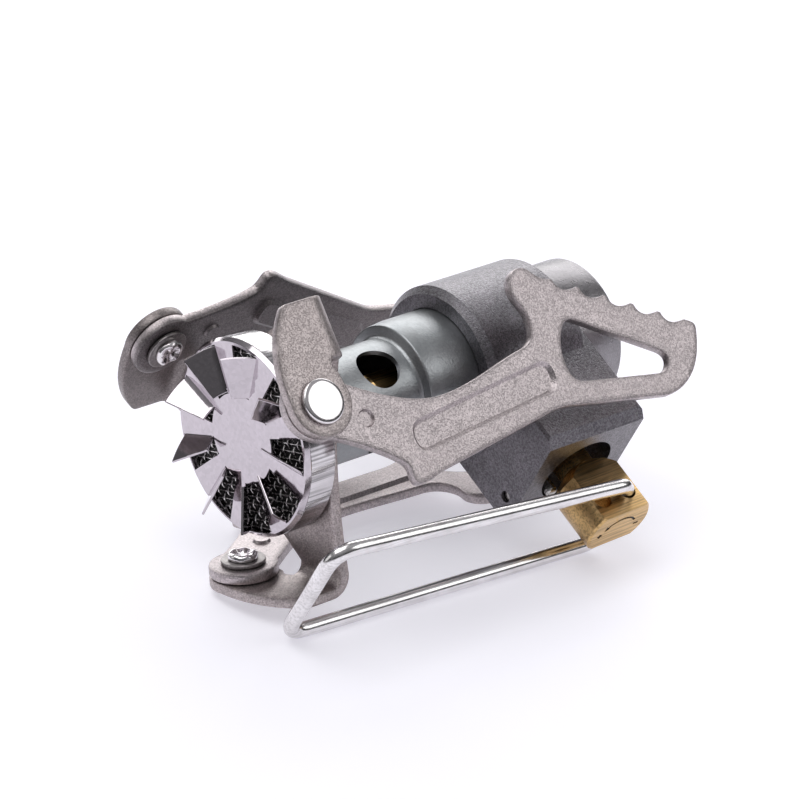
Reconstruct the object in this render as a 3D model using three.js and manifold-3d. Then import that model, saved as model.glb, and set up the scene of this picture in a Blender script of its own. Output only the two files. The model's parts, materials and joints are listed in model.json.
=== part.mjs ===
// Folding canister-top camping stove, folded and lying on its side.
// Millimetres, +Z up. Every sub-part is built in the stove's own frame, whose +Z points
// out of the burner face, and the root group then lays the whole stove down.

import * as THREE from 'three';
import { mergeVertices } from 'three/addons/utils/BufferGeometryUtils.js';
import Module from 'manifold-3d';

const wasm = await Module();
wasm.setup();

// ---------------------------------------------------------------- driving dimensions

const GAP = 0.12;                 // play between pieces that touch
const DEG = Math.PI / 180;

// burner head, its face at z = 0
const CUP_RADIUS = 14;
const CUP_DEPTH = 5.3;
const CUP_WALL = 0.6;
const CAP_THICK = 0.4;
const CAP_SKIRT = 1.2;            // how far the cap's edge is turned down over the cup's rim
const WINDOW_COUNT = 9;
const WINDOW_INNER = 6.4;
const WINDOW_OUTER = 13.2;
const WINDOW_ANGLE = 22.6 * DEG;
const WINDOW_PHASE = 0.7 * DEG;
const FLAP_LEAN = 51.5 * DEG;     // each window's metal, bent up about its radial edge
const SCREEN_TOP = -1.25;
const SCREEN_THICK = 0.5;

// three-armed bracket and the pot supports riveted inside its ears
const SHEET = 1.5;
const EAR_INNER = 19.6;           // distance of the ear's inner face from the stove axis
const ARM_TOP = -CUP_DEPTH - GAP;
const ARM_NEAR = 5;               // arm edges, measured sideways from the rivet
const ARM_FAR = 13.8;
const BEND_INNER = 1.5;
const RIVET_SIDE = -0.8;          // rivet's sideways offset from the arm's radial plane
const RIVET_Z = 0.5;
const RIVET_SHANK = 1.6;
const EAR_LOBE = 4.8;
const SUPPORT_LOBE = 4.8;
const FOLD_ANGLES = { a: 0, b: 25 * DEG, c: -5 * DEG };

// teeth of a pot support, along a straight rail
const TOOTH_COUNT = 5;
const TOOTH_PITCH = 4.55;
const TOOTH_DEPTH = 1;
const RAIL_START = [6.6, -44.6];
const RAIL_ANGLE = -119.5 * DEG;

// mixing tube and jet
const TUBE_RADIUS = 7.5;
const TUBE_LARGE = 9.4;
const TUBE_WALL = 0.8;
const SHOULDER_Z = -26.2;
const AIR_HOLE_COUNT = 4;
const AIR_HOLE_RADIUS = 3.2;
const AIR_HOLE_Z = -20.7;
const AIR_HOLE_TURN = 22 * DEG;
const JET_TIP_Z = -19.5;

// valve body, its block and the canister connector
const BODY_RADIUS = 12.5;
const BODY_FRONT = -34.8;
const BODY_BACK = -52.2;
const SOCKET_DEPTH = 3.5;
const BLOCK_HALF_WIDTH = 9.3;
const BLOCK_HALF_LENGTH = 8.7;
const BLOCK_END = 21.4;
const BLOCK_EDGE = 0.4;           // small chamfer along the block
const BLOCK_CHAMFER = 1.4;        // larger one across its end
const LOCK_PIN = [18.9, -5.4];    // out from the stove axis, and sideways
const CONNECTOR_RADIUS = 10.5;
const CONNECTOR_BACK = -60.5;
const THREAD_RADIUS = 5.4;        // 7/16-28 UNEF, bored at the minor diameter

// valve spindle, which points sideways out of the block
const VALVE_AZIMUTH = -66.5 * DEG;
const VALVE_Z = -44.7;
const SPINDLE_RADIUS = 1.5;
const RECESS_RADIUS = 5.8;
const RECESS_DEPTH = 3.6;
const KNOB_RADIUS = 5.2;
const KNOB_FLAT = 3.4;
const KNOB_CONE_START = 22;
const KNOB_CONE_END = 24;
const KNOB_END = 31.9;
const KNOB_NECK = 2.75;
const HOLE_RADIUS = 1.3;
const HOLE_S = 28.8;
const HOLE_OFFSET = 2.2;

// folding wire handle
const WIRE_RADIUS = 1.1;
const WIRE_UPPER = [[0, 4.8], [50.8, 9.6]];       // corners of the loop's two legs, as distance
const WIRE_LOWER = [[0.6, -8.4], [52.6, -8.4]];   // along the loop and distance sideways
const WIRE_TILT = -4.6 * DEG;
const KNOB_TURN = 2.7 * DEG;

// how the folded stove lies: the stove-frame direction that points up
const UP = new THREE.Vector3(0.6169, 0.787, 0.0032).normalize();

// ---------------------------------------------------------------- solids and shapes

const X = new THREE.Vector3(1, 0, 0);
const Y = new THREE.Vector3(0, 1, 0);
const Z = new THREE.Vector3(0, 0, 1);

// A flat outline drawn in x, y and extruded along z, stood up in the sideways-and-axial plane.
const STAND_UP = new THREE.Matrix4().makeBasis(Y, Z, X);

function signedVolume(position, index) {
  const corner = [new THREE.Vector3(), new THREE.Vector3(), new THREE.Vector3()];
  let volume = 0;
  for (let i = 0; i < index.length; i += 3) {
    corner.forEach((vector, k) => vector.fromBufferAttribute(position, index[i + k]));
    volume += corner[0].dot(corner[1].cross(corner[2])) / 6;
  }
  return volume;
}

// A closed three.js geometry as a solid that can be joined and cut.
function solid(geometry) {
  const source = geometry.clone();
  source.deleteAttribute('normal');
  source.deleteAttribute('uv');
  const merged = mergeVertices(source, 1e-4);
  const index = merged.index.array;
  const inside = signedVolume(merged.attributes.position, index) < 0;
  const triangles = [];
  for (let i = 0; i < index.length; i += 3) {
    const [a, b, c] = [index[i], index[i + 1], index[i + 2]];
    if (a === b || b === c || c === a) continue;
    triangles.push(a, inside ? c : b, inside ? b : c);
  }
  return new wasm.Manifold(new wasm.Mesh({
    numProp: 3,
    vertProperties: merged.attributes.position.array,
    triVerts: new Uint32Array(triangles),
  }));
}

function mesh(name, body, colour, roughness, metalness) {
  const data = body.getMesh();
  const geometry = new THREE.BufferGeometry();
  geometry.setAttribute('position', new THREE.BufferAttribute(data.vertProperties, 3));
  geometry.setIndex(new THREE.BufferAttribute(data.triVerts, 1));
  geometry.computeVertexNormals();
  const node = new THREE.Mesh(
    geometry,
    new THREE.MeshStandardMaterial({ color: colour, roughness, metalness }),
  );
  node.name = name;
  return node;
}

// A turned piece about z. The profile is a closed list of [radius, z] corners.
function turned(profile, segments = 36) {
  const points = [...profile, profile[0]].map(([r, z]) => new THREE.Vector2(r, z));
  return solid(new THREE.LatheGeometry(points, segments).rotateX(90 * DEG));
}

// A turned piece about x, for everything on the valve's spindle axis.
function turnedAcross(profile, segments = 28) {
  const points = [...profile, profile[0]].map(([r, z]) => new THREE.Vector2(r, z));
  return solid(new THREE.LatheGeometry(points, segments).rotateX(90 * DEG).rotateY(90 * DEG));
}

function drill(radius, from, to, segments = 24) {
  return turned([[0, from], [radius, from], [radius, to], [0, to]], segments);
}

function drillAcross(radius, from, to, segments = 24) {
  return turnedAcross([[0, from], [radius, from], [radius, to], [0, to]], segments);
}

function box(x0, x1, y0, y1, z0, z1) {
  const geometry = new THREE.BoxGeometry(x1 - x0, y1 - y0, z1 - z0);
  return solid(geometry.translate((x0 + x1) / 2, (y0 + y1) / 2, (z0 + z1) / 2));
}

// An outline through [x, y, radius] corners, each corner rounded off by its radius.
function rounded(path, corners) {
  const count = corners.length;
  corners.forEach(([x, y, radius], i) => {
    const here = new THREE.Vector2(x, y);
    const before = new THREE.Vector2(...corners[(i + count - 1) % count]);
    const after = new THREE.Vector2(...corners[(i + 1) % count]);
    const cutIn = Math.min(radius, here.distanceTo(before) * 0.49);
    const cutOut = Math.min(radius, here.distanceTo(after) * 0.49);
    const start = here.clone().add(before.sub(here).setLength(cutIn));
    const end = here.clone().add(after.sub(here).setLength(cutOut));
    if (i === 0) path.moveTo(start.x, start.y);
    else path.lineTo(start.x, start.y);
    path.quadraticCurveTo(x, y, end.x, end.y);
  });
  path.closePath();
  return path;
}

function extruded(shape, depth, curveSegments = 5) {
  return solid(new THREE.ExtrudeGeometry(shape, { depth, curveSegments, bevelEnabled: false }));
}

// Sheet cut to an outline of sideways and axial corners, lying from one radius outward.
function uprightSheet(shape, inner, thickness, curveSegments) {
  const flat = new THREE.ExtrudeGeometry(shape, {
    depth: thickness, curveSegments, bevelEnabled: false,
  });
  return solid(flat.applyMatrix4(STAND_UP).translate(inner, 0, 0));
}

function polar(radius, angle) {
  return [radius * Math.cos(angle), radius * Math.sin(angle)];
}

// ---------------------------------------------------------------- burner head

function burnerCup() {
  const floor = -CUP_DEPTH;
  const rim = -CAP_SKIRT - GAP;
  const bore = TUBE_RADIUS + GAP;
  const body = turned([
    [bore, floor], [CUP_RADIUS - 0.5, floor], [CUP_RADIUS, floor + 0.5],
    [CUP_RADIUS, rim], [CUP_RADIUS - CUP_WALL, rim],
    [CUP_RADIUS - CUP_WALL, floor + CUP_WALL], [bore, floor + CUP_WALL],
  ], 40);
  return mesh('burner_cup', body, 0xb9b6b4, 0.25, 1);
}

// The sector of one window, from its hinge edge at angle 0.
function windowSector() {
  const shape = new THREE.Shape();
  shape.moveTo(...polar(WINDOW_OUTER, 0));
  shape.absarc(0, 0, WINDOW_OUTER, 0, WINDOW_ANGLE, false);
  shape.lineTo(...polar(WINDOW_INNER, WINDOW_ANGLE));
  shape.absarc(0, 0, WINDOW_INNER, WINDOW_ANGLE, 0, true);
  return shape;
}

// The metal of one window, bent up about the window's radial edge.
function capFlap() {
  const inset = 0.15;
  const across = WINDOW_ANGLE - inset / WINDOW_INNER;
  const shape = rounded(new THREE.Shape(), [
    [WINDOW_INNER + inset, -0.25, 0.1], [WINDOW_OUTER - inset, -0.25, 0.1],
    [...polar(WINDOW_OUTER - inset, across / 2), 1.2], [...polar(WINDOW_OUTER - inset, across), 0.4],
    [...polar(WINDOW_INNER + inset, across), 0.4],
  ]);
  const sheet = new THREE.ExtrudeGeometry(shape, {
    depth: CAP_THICK, curveSegments: 1, bevelEnabled: false,
  });
  return solid(sheet.translate(0, 0, -CAP_THICK).rotateX(FLAP_LEAN).translate(0, 0, -0.02));
}

function burnerCap() {
  const wall = CUP_RADIUS - CAP_THICK;
  let body = turned([
    [0, -CAP_THICK], [wall, -CAP_THICK], [wall, -CAP_SKIRT], [CUP_RADIUS, -CAP_SKIRT],
    [CUP_RADIUS, -0.6], [CUP_RADIUS - 0.15, -0.2], [CUP_RADIUS - 0.6, 0], [0, 0],
  ], 40);
  const turns = Array.from({ length: WINDOW_COUNT }, (_, i) => (
    WINDOW_PHASE / DEG + i * 360 / WINDOW_COUNT
  ));
  const window = extruded(windowSector(), 2, 2).translate([0, 0, -1]);
  turns.forEach((turn) => { body = body.subtract(window.rotate([0, 0, turn])); });
  turns.forEach((turn) => { body = body.add(capFlap().rotate([0, 0, turn])); });
  return mesh('burner_cap', body, 0xcfcdcb, 0.12, 1);
}

function burnerMesh() {
  const body = drill(CUP_RADIUS - CUP_WALL - GAP, SCREEN_TOP - SCREEN_THICK, SCREEN_TOP, 36);
  return mesh('burner_mesh', body, 0x6d6a68, 0.4, 1);
}

function meshRing() {
  const top = SCREEN_TOP - SCREEN_THICK - GAP;
  const outer = CUP_RADIUS - CUP_WALL - GAP;
  const foot = -CUP_DEPTH + CUP_WALL + GAP;
  const body = turned([
    [outer - 1, foot], [outer, foot], [outer, top], [outer - 1.6, top], [outer - 1.6, top - 0.5],
    [outer - 1, top - 0.5],
  ], 30);
  return mesh('mesh_ring', body, 0x9a9896, 0.35, 1);
}

// ---------------------------------------------------------------- bracket

// Hub and arms seen along the axis, with hollow curved sides between the arms.
function starShape() {
  const reach = EAR_INNER - BEND_INNER;
  const near = RIVET_SIDE + ARM_NEAR;
  const far = RIVET_SIDE + ARM_FAR;
  const shape = new THREE.Shape();
  for (let i = 0; i < 3; i += 1) {
    const turn = i * 120 * DEG;
    const corner = (x, y) => new THREE.Vector2(x, y).rotateAround(new THREE.Vector2(), turn);
    const start = corner(reach, near);
    const end = corner(reach, far);
    const next = new THREE.Vector2(reach, near).rotateAround(new THREE.Vector2(), turn + 120 * DEG);
    const pull = corner(3.2, 10.6);
    if (i === 0) shape.moveTo(start.x, start.y);
    shape.lineTo(end.x, end.y);
    shape.quadraticCurveTo(pull.x, pull.y, next.x, next.y);
  }
  return shape;
}

// Quarter bend that turns an arm up into its ear.
function armBend() {
  const outer = BEND_INNER + SHEET;
  const centre = [EAR_INNER - BEND_INNER, ARM_TOP + BEND_INNER];
  const shape = new THREE.Shape();
  shape.absarc(...centre, outer, -90 * DEG, 0, false);
  shape.absarc(...centre, BEND_INNER, 0, -90 * DEG, true);
  const sheet = new THREE.ExtrudeGeometry(shape, {
    depth: ARM_FAR - ARM_NEAR, curveSegments: 4, bevelEnabled: false,
  });
  const minusY = new THREE.Vector3(0, -1, 0);
  sheet.applyMatrix4(new THREE.Matrix4().makeBasis(X, Z, minusY));
  return solid(sheet.translate(0, RIVET_SIDE + ARM_FAR, 0));
}

// Ear outline, sideways and axial from the rivet: a strip off the bend running into a round lobe.
function earShape() {
  const root = ARM_TOP + BEND_INNER - RIVET_Z;
  const lobe = EAR_LOBE;
  const shape = new THREE.Shape();
  shape.moveTo(ARM_NEAR + 0.4, root);
  shape.lineTo(ARM_FAR, root);
  shape.lineTo(ARM_FAR, -0.4);
  shape.quadraticCurveTo(ARM_FAR, 0.2, ARM_FAR - 0.7, 0.7);
  shape.bezierCurveTo(10.5, 3, 6.5, 5, ...polar(lobe, 82 * DEG));
  shape.absarc(0, 0, lobe, 82 * DEG, 284 * DEG, false);
  shape.lineTo(3.1, root);
  shape.quadraticCurveTo(4.2, root + 1, ARM_NEAR + 0.4, root);
  return shape;
}

function supportBracket() {
  let body = extruded(starShape(), SHEET, 7).translate([0, 0, ARM_TOP - SHEET]);
  body = body.subtract(drill(TUBE_RADIUS + GAP, ARM_TOP - 3, ARM_TOP + 1, 30));
  const ear = uprightSheet(earShape(), EAR_INNER, SHEET, 7).translate([0, RIVET_SIDE, RIVET_Z]);
  const hole = drillAcross(RIVET_SHANK + 0.06, EAR_INNER - 1, EAR_INNER + 3, 18)
    .translate([0, RIVET_SIDE, RIVET_Z]);
  const arm = armBend().add(ear).subtract(hole);
  for (let i = 0; i < 3; i += 1) {
    body = body.add(arm.rotate([0, 0, i * 120]));
  }
  return mesh('support_bracket', body, 0x8f8987, 0.5, 0.9);
}

// ---------------------------------------------------------------- pot supports

// Outline of a folded support, sideways and axial from its rivet.
function supportShape() {
  const shape = new THREE.Shape();
  const along = (distance) => [
    RAIL_START[0] + distance * Math.cos(RAIL_ANGLE),
    RAIL_START[1] + distance * Math.sin(RAIL_ANGLE),
  ];
  const inward = (point, depth) => [
    point[0] + depth * Math.sin(RAIL_ANGLE),
    point[1] - depth * Math.cos(RAIL_ANGLE),
  ];
  shape.moveTo(...polar(SUPPORT_LOBE, -58 * DEG));
  // waist, then the hooked nose in front of the teeth
  shape.bezierCurveTo(1.4, -6.6, -3.9, -13.5, -3.9, -20);
  shape.bezierCurveTo(-3.9, -26, -2, -31, -1.4, -35.6);
  shape.bezierCurveTo(-1.1, -37.8, 0.2, -38.6, 2.2, -38.6);
  shape.bezierCurveTo(4.2, -38.6, 4.8, -37.5, 6.3, -37.5);
  shape.bezierCurveTo(8.4, -37.5, 9.6, -39.2, 9.2, -40.7);
  shape.bezierCurveTo(8.9, -42.2, 7, -42.2, ...RAIL_START);
  for (let i = 0; i < TOOTH_COUNT; i += 1) {
    const tip = along(i * TOOTH_PITCH + 0.5);
    const valley = inward(along(i * TOOTH_PITCH + 1.9), TOOTH_DEPTH * 1.9);
    shape.lineTo(...tip);
    shape.quadraticCurveTo(...valley, ...along((i + 1) * TOOTH_PITCH));
  }
  // blunt end, back edge, hooked hump and notch, and back to the round lobe
  shape.lineTo(...along(TOOTH_COUNT * TOOTH_PITCH + 0.8));
  shape.quadraticCurveTo(-5.5, -66.1, -6.3, -65.9);
  shape.bezierCurveTo(-9.5, -64.9, -13.9, -62.5, -14, -56.8);
  shape.lineTo(-11.2, -41);
  shape.bezierCurveTo(-10.7, -38.6, -10.7, -37.6, -11.1, -35.2);
  shape.lineTo(-13.7, -15.6);
  shape.bezierCurveTo(-14.2, -13.2, -15, -10.9, -13.4, -10.7);
  shape.bezierCurveTo(-12.7, -10.6, -12.2, -10.9, -11.4, -10.6);
  shape.bezierCurveTo(-9.6, -9.4, -6.6, -4.4, ...polar(SUPPORT_LOBE, 188 * DEG));
  shape.absarc(0, 0, SUPPORT_LOBE, 188 * DEG, -58 * DEG, true);
  return shape;
}

// Three-cornered opening behind the teeth.
function supportWindow() {
  return rounded(new THREE.Shape(), [
    [0.9, -44.6, 1.8], [-8.6, -59.6, 2], [-10.9, -58, 1.6], [-8, -41.8, 2.4], [-2.8, -41.8, 2.6],
  ]);
}

// Pressed stiffening rib, a long stadium along the waist.
function supportRib(halfWidth, inner, thickness) {
  return uprightSheet(rounded(new THREE.Shape(), [
    [-8.6 - halfWidth, -13.4, 1.9], [-7.6 + halfWidth * 0.7, -13.4, 1.9],
    [-5.7 + halfWidth, -39, 2], [-6.4 - halfWidth, -39, 2],
  ]), inner, thickness, 3);
}

function potSupport(letter) {
  const inner = EAR_INNER - GAP - SHEET;
  const outer = EAR_INNER - GAP;
  let body = uprightSheet(supportShape(), inner, SHEET, 5);
  body = body.subtract(uprightSheet(supportWindow(), inner - 1, SHEET + 2, 4));
  body = body.subtract(supportRib(2, outer - 0.5, 2));
  body = body.add(supportRib(1.7, inner - 0.35, 0.55));
  const [side, axial] = polar(7.9, 242 * DEG);
  const dimple = drillAcross(1.25, outer - 0.4, outer + 1, 14).translate([0, side, axial]);
  body = body.subtract(dimple);
  body = body.subtract(drillAcross(RIVET_SHANK + 0.06, inner - 1, outer + 1, 18));
  const node = mesh(`pot_support_${letter}`, body, 0xa59d9c, 0.5, 0.9);
  node.position.set(0, RIVET_SIDE, RIVET_Z);
  node.rotation.x = FOLD_ANGLES[letter];
  return node;
}

// Round head outside the ear, shank through both sheets, crimped tail over the washer.
function rivet(letter) {
  const head = EAR_INNER + SHEET + 0.05;
  const washerFace = EAR_INNER - 2 * GAP - SHEET - 0.5;
  const body = turnedAcross([
    [0, washerFace - 1.1], [1.7, washerFace - 0.9], [2.1, washerFace - 0.4],
    [2.1, washerFace - 0.05], [RIVET_SHANK, washerFace - 0.05], [RIVET_SHANK, head],
    [3.15, head], [3.15, head + 0.4], [2.8, head + 0.75], [1.8, head + 0.9], [0, head + 0.95],
  ], 18);
  const node = mesh(`rivet_${letter}`, body, 0xd9d7d6, 0.18, 1);
  node.position.set(0, RIVET_SIDE, RIVET_Z);
  return node;
}

function rivetWasher(letter) {
  const inner = EAR_INNER - 2 * GAP - SHEET - 0.5;
  const bore = RIVET_SHANK + 0.06;
  const body = turnedAcross([
    [bore, inner], [3.1, inner], [3.1, inner + 0.5], [bore, inner + 0.5],
  ], 18);
  const node = mesh(`rivet_washer_${letter}`, body, 0x9b9997, 0.4, 1);
  node.position.set(0, RIVET_SIDE, RIVET_Z);
  return node;
}

// ---------------------------------------------------------------- mixing tube and jet

function burnerTube() {
  const bore = TUBE_RADIUS - TUBE_WALL;
  const largeBore = TUBE_LARGE - 1;
  const lip = -CUP_DEPTH + CUP_WALL + GAP;
  const foot = BODY_FRONT - SOCKET_DEPTH + GAP;
  const groove = -30.3;
  let body = turned([
    [bore, lip + 0.5], [TUBE_RADIUS + 1.2, lip + 0.5], [TUBE_RADIUS + 1.2, lip], [TUBE_RADIUS, lip],
    [TUBE_RADIUS, SHOULDER_Z + 0.7], [TUBE_LARGE - 0.3, SHOULDER_Z], [TUBE_LARGE, SHOULDER_Z - 0.3],
    [TUBE_LARGE, groove + 0.15], [TUBE_LARGE - 0.25, groove], [TUBE_LARGE, groove - 0.15],
    [TUBE_LARGE, foot], [largeBore, foot], [largeBore, SHOULDER_Z - 1.5], [bore, SHOULDER_Z - 0.5],
  ], 32);
  const hole = drillAcross(AIR_HOLE_RADIUS, 2, TUBE_RADIUS + 2, 16).translate([0, 0, AIR_HOLE_Z]);
  for (let i = 0; i < AIR_HOLE_COUNT; i += 1) {
    const turn = AIR_HOLE_TURN / DEG + i * 360 / AIR_HOLE_COUNT;
    body = body.subtract(hole.rotate([0, 0, turn]));
  }
  return mesh('burner_tube', body, 0x9aa5aa, 0.35, 1);
}

function gasJet() {
  const foot = BODY_FRONT - SOCKET_DEPTH - 3.4;
  const hex = BODY_FRONT - SOCKET_DEPTH + 0.2;
  const body = turned([
    [1, foot], [2.4, foot], [2.4, hex], [4, hex], [4, hex + 3.5], [3, hex + 4],
    [3, JET_TIP_Z - 2.6], [1.6, JET_TIP_Z - 0.6], [1.6, JET_TIP_Z], [0.25, JET_TIP_Z],
    [0.25, JET_TIP_Z - 1], [1, JET_TIP_Z - 2],
  ], 18);
  return mesh('gas_jet', body, 0xb08a3e, 0.3, 1);
}

// ---------------------------------------------------------------- valve body

// Block on the side of the round body, its long edges chamfered, drawn across the spindle axis.
function blockShape() {
  const half = BLOCK_HALF_WIDTH;
  const length = BLOCK_HALF_LENGTH;
  const c = BLOCK_EDGE;
  const shape = new THREE.Shape();
  shape.moveTo(half, length - c);
  shape.lineTo(half - c, length);
  shape.lineTo(c - half, length);
  shape.lineTo(-half, length - c);
  shape.lineTo(-half, c - length);
  shape.lineTo(c - half, -length);
  shape.lineTo(half - c, -length);
  shape.lineTo(half, c - length);
  shape.closePath();
  return shape;
}

// The block's end, its two long edges chamfered.
function block() {
  const margin = 1;
  const body = uprightSheet(blockShape(), 2, BLOCK_END - 2, 1);
  const reach = BLOCK_HALF_LENGTH + margin;
  const edge = new THREE.Shape();
  edge.moveTo(0, 0);
  edge.lineTo(BLOCK_CHAMFER + margin, 0);
  edge.lineTo(0, BLOCK_CHAMFER + margin);
  edge.closePath();
  const wedge = (sign) => {
    const cut = new THREE.ExtrudeGeometry(edge, { depth: 2 * reach, bevelEnabled: false });
    cut.rotateZ(sign > 0 ? 180 * DEG : 90 * DEG);
    return solid(cut.translate(BLOCK_END + margin, sign * (BLOCK_HALF_WIDTH + margin), -reach));
  };
  return body.subtract(wedge(1)).subtract(wedge(-1));
}

function spindleWay() {
  return drillAcross(RECESS_RADIUS, BLOCK_END - RECESS_DEPTH, BLOCK_END + 1, 28)
    .add(drillAcross(4.4, 12, BLOCK_END, 24))
    .add(drillAcross(2.6, 4, 13, 20))
    .add(drillAcross(0.8, -2, 5, 12));
}

function valveBody() {
  let body = turned([
    [0, BODY_BACK], [BODY_RADIUS - 0.8, BODY_BACK], [BODY_RADIUS, BODY_BACK + 0.8],
    [BODY_RADIUS, BODY_FRONT - 1], [BODY_RADIUS - 1, BODY_FRONT], [0, BODY_FRONT],
  ], 44);
  const azimuth = VALVE_AZIMUTH / DEG;
  body = body.add(block().translate([0, 0, VALVE_Z]).rotate([0, 0, azimuth]));
  body = body.subtract(spindleWay().translate([0, 0, VALVE_Z]).rotate([0, 0, azimuth]));
  const socket = BODY_FRONT - SOCKET_DEPTH;
  body = body.subtract(drill(TUBE_LARGE + GAP, socket, BODY_FRONT + 1, 32));
  body = body.subtract(drill(2.4 + GAP, socket - 3.6, socket + 1));
  body = body.subtract(drill(0.8, VALVE_Z, socket, 12));
  body = body.subtract(drill(CONNECTOR_RADIUS + GAP, BODY_BACK - 4, BODY_BACK, 36));
  body = body.subtract(drill(4.2, BODY_BACK - 1, BODY_BACK + 3.5));
  body = body.subtract(drill(0.8, BODY_BACK, VALVE_Z + 0.2, 12).translate([2.2, 0, 0]));
  const pinHole = drill(0.85, 0, 16, 14);
  body = body.subtract(pinHole.translate([...LOCK_PIN, VALVE_Z + 4]).rotate([0, 0, azimuth]));
  return mesh('valve_body', body, 0x6f6f72, 0.45, 0.95);
}

function lockPin() {
  const body = drill(0.7, VALVE_Z + 4.2, VALVE_Z + BLOCK_HALF_LENGTH - 0.5, 12)
    .translate([...LOCK_PIN, 0]);
  return mesh('lock_pin', body.rotate([0, 0, VALVE_AZIMUTH / DEG]), 0x55555a, 0.4, 1);
}

function jetFilter() {
  const foot = BODY_BACK + 1.4;
  const body = drill(3.9, foot, BODY_BACK + 3.2, 20);
  return mesh('gas_filter', body, 0x8d7a50, 0.9, 0.4);
}

// ---------------------------------------------------------------- canister connector

function canisterConnector() {
  const front = BODY_BACK - GAP;
  const body = turned([
    [3, front + 1], [4.05, front + 1], [4.05, front], [CONNECTOR_RADIUS - 0.3, front],
    [CONNECTOR_RADIUS, front - 0.3], [CONNECTOR_RADIUS, CONNECTOR_BACK + 0.5],
    [CONNECTOR_RADIUS - 0.5, CONNECTOR_BACK], [THREAD_RADIUS + 0.7, CONNECTOR_BACK],
    [THREAD_RADIUS, CONNECTOR_BACK + 0.7], [THREAD_RADIUS, front - 1.6], [3, front - 1.6],
  ], 36);
  return mesh('canister_connector', body, 0x9b9ea2, 0.3, 1);
}

function canisterSeal() {
  const top = BODY_BACK - 2 * GAP - 1.6;
  const ring = new THREE.TorusGeometry(4, 0.8, 8, 20);
  return mesh('canister_seal', solid(ring.translate(0, 0, top - 0.8)), 0x1c1c1e, 0.8, 0);
}

// Pin that pushes the canister's valve open, standing on a spider that lets gas by.
function canisterPin() {
  const top = BODY_BACK + 0.6;
  let body = turned([
    [0, top - 8.5], [0.6, top - 8.5], [0.9, top - 8], [0.9, top - 0.7], [2.7, top - 0.7],
    [2.7, top], [0, top],
  ], 20);
  for (let i = 0; i < 3; i += 1) {
    body = body.subtract(drill(0.55, top - 2, top + 1, 10).translate([1.8, 0, 0]).rotate([0, 0, i * 120]));
  }
  return mesh('canister_pin', body, 0xb08a3e, 0.35, 1);
}

// ---------------------------------------------------------------- valve spindle and knob

function valveSpindle() {
  const body = turnedAcross([
    [0, 3.6], [0.5, 4.6], [1.1, 5.4], [1.1, 6], [1.45, 6.2], [1.45, 8], [2.3, 8], [2.3, 11.6],
    [SPINDLE_RADIUS, 11.6], [SPINDLE_RADIUS, 27], [0, 27],
  ], 18);
  return mesh('valve_spindle', body, 0xa7a5a0, 0.3, 1);
}

function spindleSeal(name, centre) {
  const ring = new THREE.TorusGeometry(SPINDLE_RADIUS + GAP + 0.85, 0.85, 8, 16);
  return mesh(name, solid(ring.rotateY(90 * DEG).translate(centre, 0, 0)), 0x1c1c1e, 0.8, 0);
}

function glandNut() {
  const bore = SPINDLE_RADIUS + 0.08;
  const top = BLOCK_END - RECESS_DEPTH - 0.2;
  const body = turnedAcross([
    [bore, top - 1.8], [4.3, top - 1.8], [4.3, top - 0.3], [4, top], [bore, top],
  ], 20);
  return mesh('gland_nut', body, 0xae883e, 0.3, 1);
}

function stopPin() {
  const body = turnedAcross([
    [0, BLOCK_END - RECESS_DEPTH + GAP], [0.9, BLOCK_END - RECESS_DEPTH + GAP],
    [0.9, BLOCK_END + 0.6], [0.7, BLOCK_END + 0.9], [0, BLOCK_END + 0.9],
  ], 16);
  return mesh('stop_pin', body.translate([0, -2.5, 3.9]), 0xc4c0bb, 0.3, 1);
}

// Turned brass knob with two flats, cross-drilled for the wire and bored for the spindle.
function controlKnob() {
  const neckStart = BLOCK_END - RECESS_DEPTH + 0.2;
  let body = turnedAcross([
    [0, neckStart], [KNOB_NECK, neckStart], [KNOB_NECK, KNOB_CONE_START],
    [3, KNOB_CONE_START], [4.3, KNOB_CONE_START + 0.9], [KNOB_RADIUS, KNOB_CONE_END],
    [KNOB_RADIUS, KNOB_END - 0.3], [KNOB_RADIUS - 0.3, KNOB_END], [0, KNOB_END],
  ], 28);
  const clear = 2 * KNOB_RADIUS;
  body = body.subtract(box(KNOB_CONE_START - 1, KNOB_END + 1, KNOB_FLAT, clear, -clear, clear));
  body = body.subtract(box(KNOB_CONE_START - 1, KNOB_END + 1, -clear, -KNOB_FLAT, -clear, clear));
  body = body.subtract(drillAcross(SPINDLE_RADIUS + 0.06, neckStart - 1, 27.1, 18));
  for (const offset of [-HOLE_OFFSET, HOLE_OFFSET]) {
    const hole = new THREE.CylinderGeometry(HOLE_RADIUS, HOLE_RADIUS, clear, 16);
    body = body.subtract(solid(hole.translate(HOLE_S, 0, offset)));
  }
  return mesh('control_knob', body, 0xb58d42, 0.35, 1);
}

// ---------------------------------------------------------------- wire handle

// The loop's centre line in its own plane: out of the knob, round the four corners and back in.
function wirePoints() {
  const insideKnob = 1.4;
  const corners = [
    [0, insideKnob, 0], [...WIRE_UPPER[0], 1.8], [...WIRE_UPPER[1], 3],
    [...WIRE_LOWER[1], 3], [...WIRE_LOWER[0], 2.6], [0, -KNOB_FLAT - 1.2, 1], [0, -insideKnob, 0],
  ].map(([along, side, radius]) => ({ at: new THREE.Vector3(0, side, along), radius }));
  const list = [corners[0].at];
  corners.slice(1, -1).forEach(({ at, radius }, i) => {
    const cut = (other) => at.clone().add(other.at.clone().sub(at).setLength(radius));
    const bend = new THREE.QuadraticBezierCurve3(cut(corners[i]), at, cut(corners[i + 2]));
    list.push(...bend.getPoints(5));
  });
  list.push(corners[corners.length - 1].at);
  return list;
}

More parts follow.
